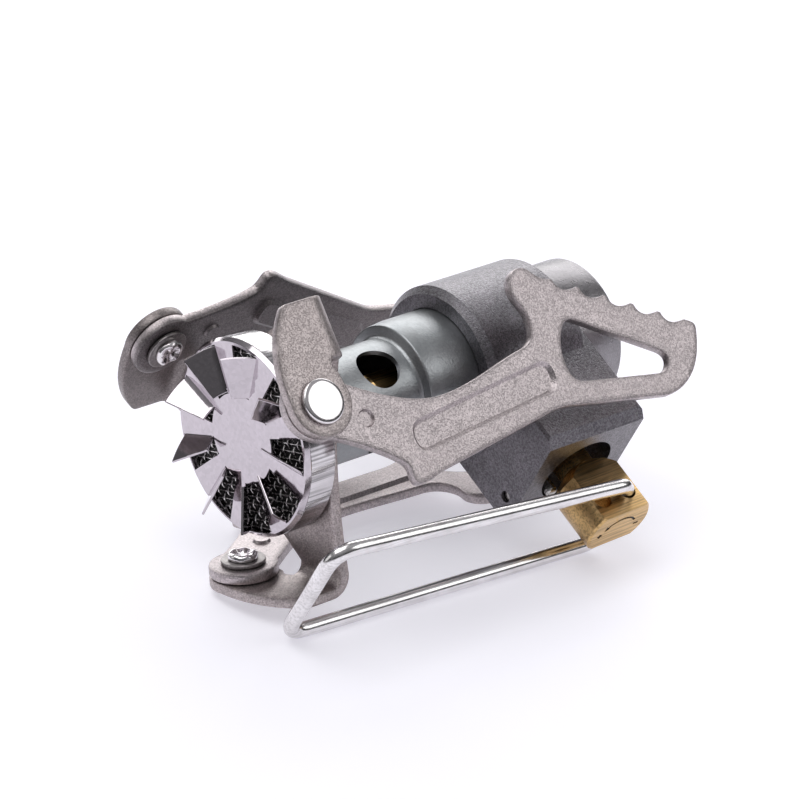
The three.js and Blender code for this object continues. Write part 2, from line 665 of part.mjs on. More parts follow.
// A curve that runs straight from each point of a list to the next.
class PointCurve extends THREE.Curve {
  constructor(points) {
    super();
    this.points = points;
  }

  getPoint(t) {
    const place = t * (this.points.length - 1);
    const i = Math.min(Math.floor(place), this.points.length - 2);
    return this.points[i].clone().lerp(this.points[i + 1], place - i);
  }

  getUtoTmapping(u) {
    return u;
  }
}

function wireHandle() {
  const section = new THREE.Shape();
  section.absarc(0, 0, WIRE_RADIUS, 0, 360 * DEG, false);
  const points = wirePoints();
  const rod = new THREE.ExtrudeGeometry(section, {
    steps: points.length - 1, curveSegments: 5, extrudePath: new PointCurve(points),
  });
  const node = mesh('wire_handle', solid(rod), 0xc9c7c6, 0.15, 1);
  node.position.set(HOLE_S, 0, -HOLE_OFFSET);
  node.rotation.y = WIRE_TILT;
  return node;
}

// ---------------------------------------------------------------- assembly

// The rotation that lays the stove down: UP becomes +Z, and the burner points towards -X.
function layDown(group) {
  const forward = Z.clone().negate();
  const east = forward.addScaledVector(UP, -forward.dot(UP)).normalize();
  const north = UP.clone().cross(east);
  const basis = new THREE.Matrix4().makeBasis(east, north, UP).transpose();
  group.quaternion.setFromRotationMatrix(basis);
}

function buildStove() {
  const stove = new THREE.Group();
  stove.add(burnerCup(), burnerCap(), burnerMesh(), meshRing(), supportBracket());
  ['a', 'b', 'c'].forEach((letter, i) => {
    const arm = new THREE.Group();
    arm.rotation.z = i * 120 * DEG;
    arm.add(potSupport(letter), rivet(letter), rivetWasher(letter));
    stove.add(arm);
  });
  stove.add(burnerTube(), gasJet(), valveBody(), lockPin(), jetFilter());
  stove.add(canisterConnector(), canisterSeal(), canisterPin());
  const valve = new THREE.Group();
  valve.rotation.z = VALVE_AZIMUTH;
  valve.position.z = VALVE_Z;
  valve.add(valveSpindle(), spindleSeal('spindle_seal_inner', 13));
  valve.add(spindleSeal('spindle_seal_outer', 14.75), glandNut(), stopPin());
  const turning = new THREE.Group();
  turning.rotation.x = KNOB_TURN;
  turning.add(controlKnob(), wireHandle());
  valve.add(turning);
  stove.add(valve);
  return stove;
}

const root = new THREE.Group();
const stove = buildStove();
layDown(stove);
root.add(stove);

// The origin is at the middle of the footprint, on the surface the stove lies on.
root.updateMatrixWorld(true);
const bounds = new THREE.Box3().setFromObject(root, true);
stove.position.set(
  -(bounds.min.x + bounds.max.x) / 2,
  -(bounds.min.y + bounds.max.y) / 2,
  -bounds.min.z,
);

export default root;
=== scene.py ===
"""Looks for a folding canister-top camping stove, lying folded on its side.

Pieces are built in millimetres in the stove's own frame, whose +Z points out of the burner face,
and are laid down by a matrix worked out from the record's mount and joint. A length that the part's
source also names has the same name here.
"""

import json
import math

import bmesh
import bpy
import numpy as np
from mathutils import Matrix, Vector
from mathutils.geometry import delaunay_2d_cdt


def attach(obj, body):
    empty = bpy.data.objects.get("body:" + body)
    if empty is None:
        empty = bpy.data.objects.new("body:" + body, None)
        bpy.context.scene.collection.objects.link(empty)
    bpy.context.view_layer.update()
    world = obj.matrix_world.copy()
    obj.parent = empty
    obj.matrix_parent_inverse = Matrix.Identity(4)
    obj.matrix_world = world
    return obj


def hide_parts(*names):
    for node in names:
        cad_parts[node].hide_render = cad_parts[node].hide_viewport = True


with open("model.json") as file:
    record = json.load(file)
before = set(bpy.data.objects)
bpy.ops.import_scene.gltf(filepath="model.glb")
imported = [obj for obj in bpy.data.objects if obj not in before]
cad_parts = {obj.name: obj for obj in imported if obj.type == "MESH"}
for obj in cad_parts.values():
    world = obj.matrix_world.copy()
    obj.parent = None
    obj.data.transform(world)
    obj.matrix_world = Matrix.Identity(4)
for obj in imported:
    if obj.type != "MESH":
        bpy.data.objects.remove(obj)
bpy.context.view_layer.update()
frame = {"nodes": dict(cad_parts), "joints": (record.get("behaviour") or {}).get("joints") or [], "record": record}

# ---------------- dimensions, millimetres

MILLIMETRE = 0.001
GAP = 0.12                          # clearance between pieces that touch
CUP_RADIUS, CUP_DEPTH, CUP_WALL = 14, 5.3, 0.6
CAP_THICK, CAP_BEND = 0.4, 0.8
WINDOW_COUNT, WINDOW_INNER, WINDOW_OUTER = 9, 6.4, 13.2
WINDOW_ANGLE, WINDOW_PHASE, FLAP_LEAN = math.radians(22.6), math.radians(0.7), math.radians(51.5)
SCREEN_PITCH, SCREEN_WIRE, SCREEN_LEVEL, SCREEN_TURN = 1.08, 0.13, -1.4, math.radians(-23)
SHEET = 1.5
EAR_INNER, ARM_NEAR, ARM_FAR, BEND_INNER = 19.6, 5, 13.8, 1.5
ARM_TOP = -CUP_DEPTH - GAP
RIVET_SIDE, RIVET_Z, RIVET_SHANK = -0.8, 0.5, 1.6
RIVET_HOLE = RIVET_SHANK + 0.06
EAR_LOBE, SUPPORT_LOBE = 4.8, 4.8
ARM_COUNT, ARM_TURN = 3, math.radians(120)
FOLD_ANGLES = {"a": 0, "b": math.radians(25), "c": math.radians(-5)}
TOOTH_COUNT, TOOTH_PITCH, TOOTH_DEPTH = 5, 4.55, 1
RAIL_START, RAIL_ANGLE = (6.6, -44.6), math.radians(-119.5)
RIB_DEPTH, RIB_SLOPE, DIMPLE_DEPTH, DIMPLE_RADIUS = 0.55, 0.3, 0.4, 1.3
TUBE_RADIUS, TUBE_LARGE, TUBE_WALL, SHOULDER_Z = 7.5, 9.4, 0.8, -26.2
AIR_HOLE_COUNT, AIR_HOLE_RADIUS, AIR_HOLE_Z, AIR_HOLE_TURN = 4, 3.2, -20.7, math.radians(22)
JET_TIP_Z = -19.5
BODY_RADIUS, BODY_FRONT, BODY_BACK, SOCKET_DEPTH = 12.5, -34.8, -52.2, 3.5
BLOCK_HALF_WIDTH, BLOCK_HALF_LENGTH, BLOCK_END = 9.3, 8.7, 21.4
BLOCK_EDGE, BLOCK_CHAMFER = 0.4, 1.4
CONNECTOR_RADIUS, CONNECTOR_BACK, THREAD_RADIUS = 10.5, -60.5, 5.4
VALVE_AZIMUTH, VALVE_Z = math.radians(-66.5), -44.7
LOCK_PIN, STOP_PIN = (18.9, -5.4), (0, -2.5, 3.9)
SPINDLE_RADIUS, SPINDLE_END, RECESS_RADIUS, RECESS_DEPTH = 1.5, 27, 5.8, 3.6
GLAND_BORE, GLAND_START, SPINDLE_BORE, SPINDLE_START = 4.4, 12, 2.6, 4
FILTER_BORE, JET_RADIUS, PIN_RADIUS = 4.2, 2.4, 0.7
KNOB_RADIUS, KNOB_FLAT, KNOB_CONE_START, KNOB_CONE_END, KNOB_END = 5.2, 3.4, 22, 24, 31.9
KNOB_NECK, HOLE_RADIUS, HOLE_S, HOLE_OFFSET = 2.75, 1.3, 28.8, 2.2
WIRE_RADIUS, WIRE_UPPER, WIRE_LOWER = 1.1, ((0, 4.8), (50.8, 9.6)), ((0.6, -8.4), (52.6, -8.4))
WIRE_TILT, KNOB_TURN = math.radians(-4.6), math.radians(2.7)
BEND_MIDDLE = BEND_INNER + SHEET / 2
BEND_START = EAR_INNER - BEND_INNER
BEND_LENGTH = BEND_MIDDLE * math.pi / 2


# ---------------- frames

def stove_matrix():
    """The stove's own frame, in millimetres, as a world matrix."""
    mount = next(m for m in frame["record"]["mounts"] if m["name"] == "canister_thread")
    hinge = next(j for j in frame["joints"] if j["name"] == "support_a_fold")
    z = -Vector(mount["axis"]).normalized()
    x = -Vector(hinge["axis"])
    x = (x - z * x.dot(z)).normalized()
    y = z.cross(x)
    origin = Vector(mount["pos_m"]) - z * CONNECTOR_BACK * MILLIMETRE
    basis = Matrix((x, y, z)).transposed().to_4x4()
    return Matrix.Translation(origin) @ basis @ Matrix.Scale(MILLIMETRE, 4)


STOVE = stove_matrix()
VALVE = STOVE @ Matrix.Translation((0, 0, VALVE_Z)) @ Matrix.Rotation(VALVE_AZIMUTH, 4, "Z")
KNOB = VALVE @ Matrix.Rotation(KNOB_TURN, 4, "X")
ALONG_X = Matrix.Rotation(math.pi / 2, 4, "Y")      # turns a piece made about z to lie about x


def arm_matrix(index):
    """One bracket arm's frame, with its origin at the rivet: +X outward, +Y sideways, +Z axial."""
    turn = Matrix.Rotation(ARM_TURN * index, 4, "Z")
    return STOVE @ turn @ Matrix.Translation((0, RIVET_SIDE, RIVET_Z))


# ---------------- outlines

def polar(radius, angle):
    return (radius * math.cos(angle), radius * math.sin(angle))


class Outline:
    """A closed flat outline drawn from lines, arcs and Bezier curves."""

    def __init__(self, x, y):
        self.points = [(x, y)]

    def line(self, x, y):
        self.points.append((x, y))
        return self

    def curve(self, *controls, steps=14):
        knots = [np.array(self.points[-1], float)] + [np.array(c, float) for c in controls]
        for i in range(1, steps + 1):
            level = knots
            while len(level) > 1:
                level = [a + (b - a) * (i / steps) for a, b in zip(level, level[1:])]
            self.points.append(tuple(level[0]))
        return self

    def arc(self, radius, start, end, steps=40, centre=(0, 0)):
        for i in range(steps + 1):
            x, y = polar(radius, start + (end - start) * i / steps)
            self.points.append((centre[0] + x, centre[1] + y))
        return self

    def loop(self, step=0.45):
        return spaced(np.array(self.points, float), step)


def corner(before, here, after, radius, steps, share=1):
    """Points of a round over a corner, taking up to a share of the side before and after it."""
    start = here + (before - here).normalized() * min(radius, (before - here).length * share)
    end = here + (after - here).normalized() * min(radius, (after - here).length * share)
    shares = [k / steps for k in range(steps + 1)]
    return [start.lerp(here, t).lerp(here.lerp(end, t), t) for t in shares]


def rounded(corners, step=0.45):
    """An outline through (x, y, radius) corners, each corner rounded off."""
    points, count = [], len(corners)
    for i, (x, y, radius) in enumerate(corners):
        before, after = Vector(corners[i - 1][:2]), Vector(corners[(i + 1) % count][:2])
        points += [p[:] for p in corner(before, Vector((x, y)), after, radius, 8, 0.49)]
    return spaced(np.array(points), step)


def circle(radius, centre=(0, 0), steps=24):
    """A round outline with one point for each of its steps."""
    start = Outline(centre[0] + radius, centre[1])
    return start.arc(radius, 0, 2 * math.pi, steps, centre).loop(radius)


NEAR = 0.02             # points closer than this count as one
MITRE_LIMIT = 0.7       # smallest cosine that a sharp corner's mitre is divided by


def spaced(points, step):
    """The same loop with near-equal points dropped and long sides divided."""
    out = []
    for i, a in enumerate(points):
        b = points[(i + 1) % len(points)]
        length = np.hypot(*(b - a))
        if length < NEAR:
            continue
        parts = max(1, round(length / step))
        out += [a + (b - a) * k / parts for k in range(parts)]
    return np.array(out)


def inward(loop, distance, hole=False):
    """The loop moved into the material by distance, its corners mitred."""
    area = np.sum(loop[:, 0] * np.roll(loop[:, 1], -1) - np.roll(loop[:, 0], -1) * loop[:, 1])
    side = 1 if (area > 0) != hole else -1
    ahead = np.roll(loop, -1, 0) - loop
    ahead /= np.linalg.norm(ahead, axis=1)[:, None]
    normal = side * np.stack([-ahead[:, 1], ahead[:, 0]], 1)
    mitre = normal + np.roll(normal, 1, 0)
    mitre /= np.maximum(np.sum(mitre * normal, 1), MITRE_LIMIT)[:, None]
    return loop + mitre * distance


def within(points, loop):
    """Which points lie inside a loop."""
    x, y = points[:, 0][:, None], points[:, 1][:, None]
    x0, y0 = loop[:, 0], loop[:, 1]
    x1, y1 = np.roll(x0, -1), np.roll(y0, -1)
    crosses = (y0 > y) != (y1 > y)
    at = x0 + (y - y0) * (x1 - x0) / np.where(y1 == y0, 1e-9, y1 - y0)
    return (crosses & (x < at)).sum(1) % 2 == 1


def distance_to(points, loop):
    """Each point's distance to a loop's line."""
    a, b = loop[None], np.roll(loop, -1, 0)[None]
    p = points[:, None]
    ab = b - a
    t = np.clip(np.sum((p - a) * ab, 2) / np.maximum(np.sum(ab * ab, 2), 1e-12), 0, 1)
    return np.linalg.norm(p - a - ab * t[..., None], axis=2).min(1)


# ---------------- meshes

LOCAL = "local_mm"
ON_AXIS = 1e-6


def linked(name, data):
    """A new object in the scene."""
    obj = bpy.data.objects.new(name, data)
    bpy.context.scene.collection.objects.link(obj)
    return obj


def band(bm, ring, following):
    """Joins two rings of as many vertices with a band of quads."""
    for i in range(len(ring)):
        k = (i + 1) % len(ring)
        bm.faces.new((ring[i], ring[k], following[k], following[i]))


def piece(name, bm, matrix, body, slot, replaced=(), smooth=math.radians(32), finish=None):
    """Turns a bmesh in millimetres into a piece that rides on a body.

    Every vertex keeps its own place in the piece's frame, which the finishes use.
    """
    data = bpy.data.meshes.new(name)
    bmesh.ops.recalc_face_normals(bm, faces=bm.faces)
    bm.to_mesh(data)
    bm.free()
    local = np.empty(len(data.vertices) * 3, np.float32)
    data.vertices.foreach_get("co", local)
    data.attributes.new(LOCAL, "FLOAT_VECTOR", "POINT").data.foreach_set("vector", local)
    data.transform(matrix)
    data.polygons.foreach_set("use_smooth", [True] * len(data.polygons))
    data.set_sharp_from_angle(angle=smooth)
    data.materials.append(FINISHES[finish or slot])
    obj = linked(name, data)
    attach(obj, body)
    if replaced:
        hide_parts(*replaced)
    return obj


def lathe(profile, segments=96, into=None, turn=None):
    """A turned solid about z from a closed list of (radius, z) corners."""
    bm = into or bmesh.new()
    rings = []
    for radius, z in profile:
        if radius < ON_AXIS:
            rings.append([bm.verts.new((0, 0, z))] * segments)
        else:
            step = 2 * math.pi / segments
            rings.append([bm.verts.new((*polar(radius, i * step), z)) for i in range(segments)])
    added = set()
    for ring, following in zip(rings, rings[1:] + rings[:1]):
        for i in range(segments):
            k = (i + 1) % segments
            corners = [ring[i], following[i], following[k], ring[k]]
            corners = [v for n, v in enumerate(corners) if v not in corners[:n]]
            if len(corners) > 2:
                bm.faces.new(corners)
        added.update(ring)
    if turn:
        bmesh.ops.transform(bm, matrix=turn, verts=list(added))
    return bm


def softened(profile, radius=0.15, steps=3):
    """The profile with a small round on every corner that is off the axis."""
    out, count = [], len(profile)
    for i, point in enumerate(profile):
        here, before = Vector(point), Vector(profile[i - 1])
        after = Vector(profile[(i + 1) % count])
        if here.x < ON_AXIS:
            out.append(point)
        else:
            out += [p[:] for p in corner(before, here, after, radius, steps, 0.45)]
    return out


def rod(points, radius, sides=16, into=None):
    """A round wire along a list of points."""
    bm = into or bmesh.new()
    path = [Vector(p) for p in points]
    last = len(path) - 1
    normal = Vector((0.3, 0.2, 1)).normalized()     # any direction that no path runs along
    rings = []
    for i, point in enumerate(path):
        ahead = (path[min(i + 1, last)] - path[max(i - 1, 0)]).normalized()
        normal = (normal - ahead * normal.dot(ahead)).normalized()
        across = ahead.cross(normal)
        turns = [polar(radius, 2 * math.pi * k / sides) for k in range(sides)]
        rings.append([bm.verts.new(point + normal * c + across * s) for c, s in turns])
    for ring, following in zip(rings, rings[1:]):
        band(bm, ring, following)
    bm.faces.new(rings[0])
    bm.faces.new(rings[-1])
    return bm


def prism(loop, low, high, turn=None):
    """A flat outline extruded along z."""
    bm = bmesh.new()
    lower = [bm.verts.new((x, y, low)) for x, y in loop]
    upper = [bm.verts.new((x, y, high)) for x, y in loop]
    bm.faces.new(lower)
    bm.faces.new(upper)
    band(bm, lower, upper)
    if turn:
        bmesh.ops.transform(bm, matrix=turn, verts=bm.verts)
    return bm


def as_object(bm):
    """A bmesh as a working object, removed again once it has been used."""
    bmesh.ops.recalc_face_normals(bm, faces=bm.faces)
    data = bpy.data.meshes.new("solid")
    bm.to_mesh(data)
    bm.free()
    return linked("solid", data)


def carved(base, cuts=(), joins=(), bevel=0.12, segments=2):
    """base with solids joined and cut, its sharp edges rounded, as a new bmesh."""
    obj = as_object(base)
    tools = []
    for operation, group in (("UNION", joins), ("DIFFERENCE", cuts)):
        for bm in group:
            tool = as_object(bm)
            change = obj.modifiers.new("solid", "BOOLEAN")
            change.operation = operation
            change.object = tool
            change.solver = "EXACT"
            tools.append(tool)
    if bevel:
        edge = obj.modifiers.new("edge", "BEVEL")
        edge.width = bevel
        edge.segments = segments
        edge.limit_method = "ANGLE"
        edge.angle_limit = math.radians(35)
        edge.use_clamp_overlap = True
        edge.loop_slide = False
    bpy.context.view_layer.update()
    evaluated = obj.evaluated_get(bpy.context.evaluated_depsgraph_get())
    bm = bmesh.new()
    bm.from_mesh(evaluated.to_mesh())
    evaluated.to_mesh_clear()
    for extra in [obj, *tools]:
        data = extra.data
        bpy.data.objects.remove(extra)
        bpy.data.meshes.remove(data)
    return bm


def staggered_grid(low, high, step):
    columns = np.arange(low[0], high[0], step)
    rows = np.arange(low[1], high[1], step * 0.87)
    return np.array([(x + (j % 2) * step / 2, y) for j, y in enumerate(rows) for x in columns])


def inside(points, rims):
    """Which points lie inside the first rim and outside all the others."""
    keep = within(points, rims[0])
    for hole in rims[1:]:
        keep &= ~within(points, hole)
    return keep


def triangulated(rims, creases, box, step):
    """Flat points and triangles between rims, with an edge along every rim and crease."""
    fixed = rims + list(creases)
    grid = staggered_grid(*box, step)
    grid = grid[inside(grid, rims)]
    for loop in fixed:
        grid = grid[distance_to(grid, loop) > step * 0.55]
    edges, start = [], 0
    for loop in fixed:
        count = len(loop)
        edges += [(start + i, start + (i + 1) % count) for i in range(count)]
        start += count
    points = [Vector(p) for p in np.concatenate(fixed + [grid])]
    found = delaunay_2d_cdt(points, edges, [], 0, 1e-5)
    flat, faces = np.array([v[:] for v in found[0]]), np.array(found[2])
    source = {original: i for i, group in enumerate(found[3]) for original in group}
    index, start = [], 0
    for loop in rims:
        index.append([source[start + i] for i in range(len(loop))])
        start += len(loop)
    return flat, faces[inside(flat[faces].mean(1), rims)], index


def pressed_sheet(outline, holes, place, thickness=SHEET, press=None, creases=(), step=0.6,
                  edge=0.28, into=None):
    """Sheet metal cut to an outline, its cut edges rounded and its surface pressed.

    place maps arrays of flat (u, v) and depth w to points, and press gives a depth offset.
    """
    bm = into or bmesh.new()
    borders = [(outline, False)] + [(hole, True) for hole in holes]
    rims = [inward(loop, edge, hole) for loop, hole in borders]
    flat, faces, index = triangulated(rims, creases, (outline.min(0), outline.max(0)), step)
    half = thickness / 2
    offset = press(flat) if press else np.zeros(len(flat))

    def layer(points, depth):
        return [bm.verts.new(p) for p in place(points[:, 0], points[:, 1], depth)]

    sides = [layer(flat, offset + half), layer(flat, offset - half)]
    for face in faces:
        for side in sides:
            bm.faces.new([side[i] for i in face])
    slope = 1 - math.sqrt(0.5)
    for (loop, hole), ring in zip(borders, index):
        chain = [[sides[0][i] for i in ring]]
        for share, drop in ((slope, slope), (0, 1), (0, -1), (slope, -slope)):
            depth = half - abs(drop) * edge
            points = inward(loop, share * edge, hole)
            chain.append(layer(points, np.full(len(loop), math.copysign(depth, drop))))
        chain.append([sides[1][i] for i in ring])
        for upper, lower in zip(chain, chain[1:]):
            band(bm, upper, lower)
    loose = [v for v in bm.verts if not v.link_faces]
    bmesh.ops.delete(bm, geom=loose, context="VERTS")
    return bm


# ---------------- finishes

class Nodes:
    """A short hand for building one material's nodes."""

    def __init__(self, name, kept):
        self.material = bpy.data.materials.new(name)
        self.material.use_nodes = True
        self.tree = self.material.node_tree
        self.shader = self.tree.nodes["Principled BSDF"]
        if kept:
            place = self.add("ShaderNodeTexCoord")
            scale = self.add("ShaderNodeMapping")
            scale.inputs["Scale"].default_value = [1 / MILLIMETRE] * 3
            self.link(place.outputs["Object"], scale.inputs["Vector"])
            self.millimetres = scale.outputs["Vector"]
        else:
            place = self.add("ShaderNodeAttribute", attribute_name=LOCAL)
            self.millimetres = place.outputs["Vector"]

    def add(self, kind, **settings):
        node = self.tree.nodes.new(kind)
        for key, value in settings.items():
            setattr(node, key, value)
        return node

    def link(self, output, socket):
        self.tree.links.new(output, socket)

    def math(self, operation, a, b):
        node = self.add("ShaderNodeMath", operation=operation)
        for socket, value in zip(node.inputs, (a, b)):
            if isinstance(value, (int, float)):
                socket.default_value = value
            else:
                self.link(value, socket)
        return node.outputs[0]

    def noise(self, scale, detail=3, rough=0.5, stretch=None):
        vector = self.millimetres
        if stretch:
            mapping = self.add("ShaderNodeMapping")
            mapping.inputs["Scale"].default_value = stretch
            self.link(vector, mapping.inputs["Vector"])
            vector = mapping.outputs["Vector"]
        node = self.add("ShaderNodeTexNoise")
        node.inputs["Scale"].default_value = scale
        node.inputs["Detail"].default_value = detail
        node.inputs["Roughness"].default_value = rough
        self.link(vector, node.inputs["Vector"])
        return node.outputs["Fac"]

    def ranged(self, value, low, high, start=0.3, end=0.7):
        node = self.add("ShaderNodeMapRange")
        limits = {"From Min": start, "From Max": end, "To Min": low, "To Max": high}
        for name, number in limits.items():
            node.inputs[name].default_value = number
        self.link(value, node.inputs["Value"])
        return node.outputs["Result"]

    def mixed(self, factor, first, second):
        node = self.add("ShaderNodeMix", data_type="RGBA")
        for socket, value in ((node.inputs[6], first), (node.inputs[7], second)):
            if isinstance(value, tuple):
                socket.default_value = (*value, 1)
            else:
                self.link(value, socket)
        self.link(factor, node.inputs[0])
        return node.outputs[2]

    def cells(self, size):
        """Small cells of a given size: the distance from each one's middle, and a chance level."""
        node = self.add("ShaderNodeTexVoronoi")
        node.inputs["Scale"].default_value = 1 / size
        self.link(self.millimetres, node.inputs["Vector"])
        level = self.add("ShaderNodeSeparateXYZ")
        self.link(node.outputs["Color"], level.inputs[0])
        return node.outputs["Distance"], level.outputs[0]

    def scaled(self, colour, factor):
        node = self.add("ShaderNodeVectorMath", operation="SCALE")
        self.link(colour, node.inputs[0])
        self.link(factor, node.inputs["Scale"])
        return node.outputs[0]

    def along(self, axis):
        node = self.add("ShaderNodeVectorMath", operation="DOT_PRODUCT")
        self.link(self.millimetres, node.inputs[0])
        node.inputs[1].default_value = axis
        return node.outputs["Value"]


def metal(name, colour, dark, metallic=1.0, roughness=(0.3, 0.4), grain=(0, 1), streak=None,
          wear=0.0, patch=0.35, speck=0.0, shade=None, kept=False):
    """A metal or rubber with patchy colour, blasted grain, tool streaks, and edges brightened partly as wear,
    partly as painted highlight.

    grain is (bump depth, size) in mm, streak is (stretch, depth in mm, darkest factor) for the
    tool lines, and shade is (axis, distance in mm, factor) for painted shade: darkening beyond a plane.
    """
    n = Nodes(name, kept)
    patches = n.noise(patch, 4)
    tone = n.mixed(n.ranged(patches, 0, 1), dark, colour)
    rough = n.ranged(n.noise(patch * 3, 3), *roughness)
    height = None
    if grain[0]:
        distance, level = n.cells(grain[1])
        height = n.math("MULTIPLY", distance, grain[0])
        if speck:
            tone = n.scaled(tone, n.ranged(level, 1 - speck, 1 + speck, 0, 1))
    if streak:
        stretch, depth, darkest = streak
        lines = n.noise(1, 2, 0.6, stretch)
        cut = n.math("MULTIPLY", lines, depth)
        height = n.math("ADD", height, cut) if height else cut
        tone = n.scaled(tone, n.ranged(lines, 1.1, darkest, 0.42, 0.64))
    # Sharp edges are lightened: partly worn metal, partly a painted highlight along the rims.
    if wear:
        point = n.add("ShaderNodeNewGeometry").outputs["Pointiness"]
        worn_and_sheen = n.math("MULTIPLY", n.ranged(point, 0, 1, 0.54, 0.66), wear)
        tone = n.mixed(worn_and_sheen, tone, tuple(min(1, c * 1.5 + 0.08) for c in colour))
    # Painted shade: the colour is darkened by the factor beyond the plane.
    if shade:
        axis, place, factor = shade
        tone = n.scaled(tone, n.ranged(n.along(axis), 1, factor, place - 0.4, place + 0.4))
    n.link(tone, n.shader.inputs["Base Color"])
    n.link(rough, n.shader.inputs["Roughness"])
    n.shader.inputs["Metallic"].default_value = metallic
    if height:
        bump = n.add("ShaderNodeBump")
        bump.inputs["Strength"].default_value = 1
        bump.inputs["Distance"].default_value = MILLIMETRE
        n.link(height, bump.inputs["Height"])
        n.link(bump.outputs["Normal"], n.shader.inputs["Normal"])
    return n.material


def finishes():
    """Every material slot's finish, plus those of the small pieces left as they are in the part."""
    done = {}

    def add(name, *look, **extra):
        done[name] = metal(name, *look, **extra)

    # The last number is the edge lightening: partly wear, partly painted highlight.
    support = (0.48, 0.43, 0.435), (0.43, 0.385, 0.39), 0.95, (0.32, 0.38), (0.03, 0.18), None, 0.6
    spindle = (0.62, 0.6, 0.58), (0.5, 0.48, 0.46), 1, (0.2, 0.3), (0.004, 0.3)
    # Painted shade: blade b's inner face, which looks toward the burner, is darkened to 0.38 of its colour.
    shaded_inner_face = ((-1, 0, 0), SHEET / 2 + GAP - EAR_INNER, 0.38)
    # Painted shade: the whole ear on arm b, beyond its bend, is darkened to half its colour.
    shaded_far_ear = ((*polar(1, ARM_TURN), 0), BEND_START, 0.5)
    add("support_steel", *support, speck=0.28)
    add("support_shaded", *support, speck=0.28, shade=shaded_inner_face)
    # The bracket's finish carries painted shade on the ear of arm b.
    add("bracket_steel", (0.44, 0.39, 0.385), (0.38, 0.335, 0.33), 0.95, (0.32, 0.38),
        (0.03, 0.18), wear=0.6, speck=0.3, shade=shaded_far_ear)
    add("stainless_polished", (0.66, 0.635, 0.65), (0.56, 0.54, 0.55), 1, (0.12, 0.18),
        streak=((2.4, 2.4, 0.06), 0.01, 0.5))
    add("wire_bright", (0.8, 0.785, 0.79), (0.66, 0.64, 0.64), 1, (0.16, 0.22),
        streak=((3, 3, 0.08), 0.002, 0.9))
    add("cap_steel", (0.56, 0.515, 0.55), (0.53, 0.49, 0.52), 1, (0.08, 0.12), (0.001, 0.5),
        speck=0.05)
    add("mesh_steel", (0.92, 0.9, 0.89), (0.75, 0.73, 0.72), 1, (0.2, 0.3), (0.004, 0.3))
    # Painted shade: near-black finish for the disc behind the screen.
    add("painted_shade_disc", (0.03, 0.028, 0.027), (0.015, 0.014, 0.014), 0.5, (0.5, 0.7), (0.1, 0.3),
        speck=0.6)
    add("rivet_steel", (0.8, 0.77, 0.78), (0.66, 0.63, 0.64), 1, (0.14, 0.22), (0.006, 0.5))
    add("washer_steel", (0.36, 0.34, 0.335), (0.26, 0.24, 0.24), 1, (0.3, 0.42), (0.02, 0.3),
        speck=0.2)
    add("tube_plated", (0.345, 0.355, 0.365), (0.3, 0.315, 0.325), 1, (0.36, 0.42), (0.02, 0.3),
        speck=0.06)
    add("body_blasted", (0.2, 0.19, 0.205), (0.165, 0.158, 0.17), 0.95, (0.28, 0.34), (0.04, 0.2),
        speck=0.36)
    add("connector_satin", (0.26, 0.25, 0.26), (0.22, 0.21, 0.22), 1, (0.26, 0.32), (0.02, 0.25),
        speck=0.08)
    add("brass", (0.66, 0.45, 0.21), (0.58, 0.38, 0.16), 1, (0.28, 0.34), (0.004, 0.4),
        streak=((3.6, 3.6, 0.1), 0.012, 0.6))
    add("filter_bronze", (0.36, 0.27, 0.13), (0.22, 0.16, 0.08), 0.7, (0.6, 0.8), (0.06, 0.3),
        speck=0.3, kept=True)
    add("seal_rubber", (0.02, 0.02, 0.022), (0.012, 0.012, 0.013), 0, (0.5, 0.65), (0.01, 0.3),
        kept=True)
    add("spindle_steel", *spindle)
    add("spindle_kept", *spindle, kept=True)
    add("ring_kept", (0.2, 0.19, 0.18), (0.12, 0.11, 0.11), 1, (0.4, 0.55), (0.006, 0.3),
        kept=True)
    return done


FINISHES = finishes()


# ---------------- burner head

def burner_cup():
    floor = -CUP_DEPTH
    bore = TUBE_RADIUS + GAP
    inner = CUP_RADIUS - CUP_WALL
    rim = -CAP_BEND - 0.02              # just behind the cap's turned-down edge
    profile = [
        (bore, floor), (CUP_RADIUS - 0.5, floor), (CUP_RADIUS, floor + 0.5), (CUP_RADIUS, rim),
        (inner, rim), (inner, floor + CUP_WALL), (bore, floor + CUP_WALL),
    ]
    bm = lathe(softened(profile, 0.06, 3), 160)
    piece("burner_cup_band", bm, STOVE, "stove_head", "stainless_polished", ["burner_cup"])


def window_turns():
    return [WINDOW_PHASE + 2 * math.pi * i / WINDOW_COUNT for i in range(WINDOW_COUNT)]


def cap_windows():
    loops = []
    for turn in window_turns():
        hole = Outline(*polar(WINDOW_OUTER, turn))
        hole.arc(WINDOW_OUTER, turn, turn + WINDOW_ANGLE, 9)
        hole.arc(WINDOW_INNER, turn + WINDOW_ANGLE, turn, 5)
        loops.append(hole.loop(0.5))
    return loops


def cap_plane(u, v, w):
    """The cap is flat out to its rim, which is turned down in a quarter bend."""
    radius = np.hypot(u, v)
    start = CUP_RADIUS - CAP_BEND
    angle = np.clip((radius - start) / CAP_BEND, 0, math.pi / 2)
    across = CAP_BEND - CAP_THICK / 2 + w
    reach = np.minimum(radius, start) + across * np.sin(angle)
    scale = reach / np.maximum(radius, 1e-6)
    height = across * np.cos(angle) - CAP_BEND
    return np.stack([u * scale, v * scale, height], 1)


def flap_bend(turn, radius=0.3):
    """Maps flat sheet beside a window's radial edge onto the flap bent up from it."""
    c, s = math.cos(turn), math.sin(turn)

    def place(u, v, w):
        angle = np.clip(v / radius, 0, FLAP_LEAN)
        beyond = np.maximum(v - radius * FLAP_LEAN, 0)
        y = (radius - w) * np.sin(angle) + beyond * math.cos(FLAP_LEAN) + np.minimum(v, 0)
        z = radius - (radius - w) * np.cos(angle) + beyond * math.sin(FLAP_LEAN)
        z -= CAP_THICK / 2
        return np.stack([u * c - y * s, u * s + y * c, z], 1)

    return place


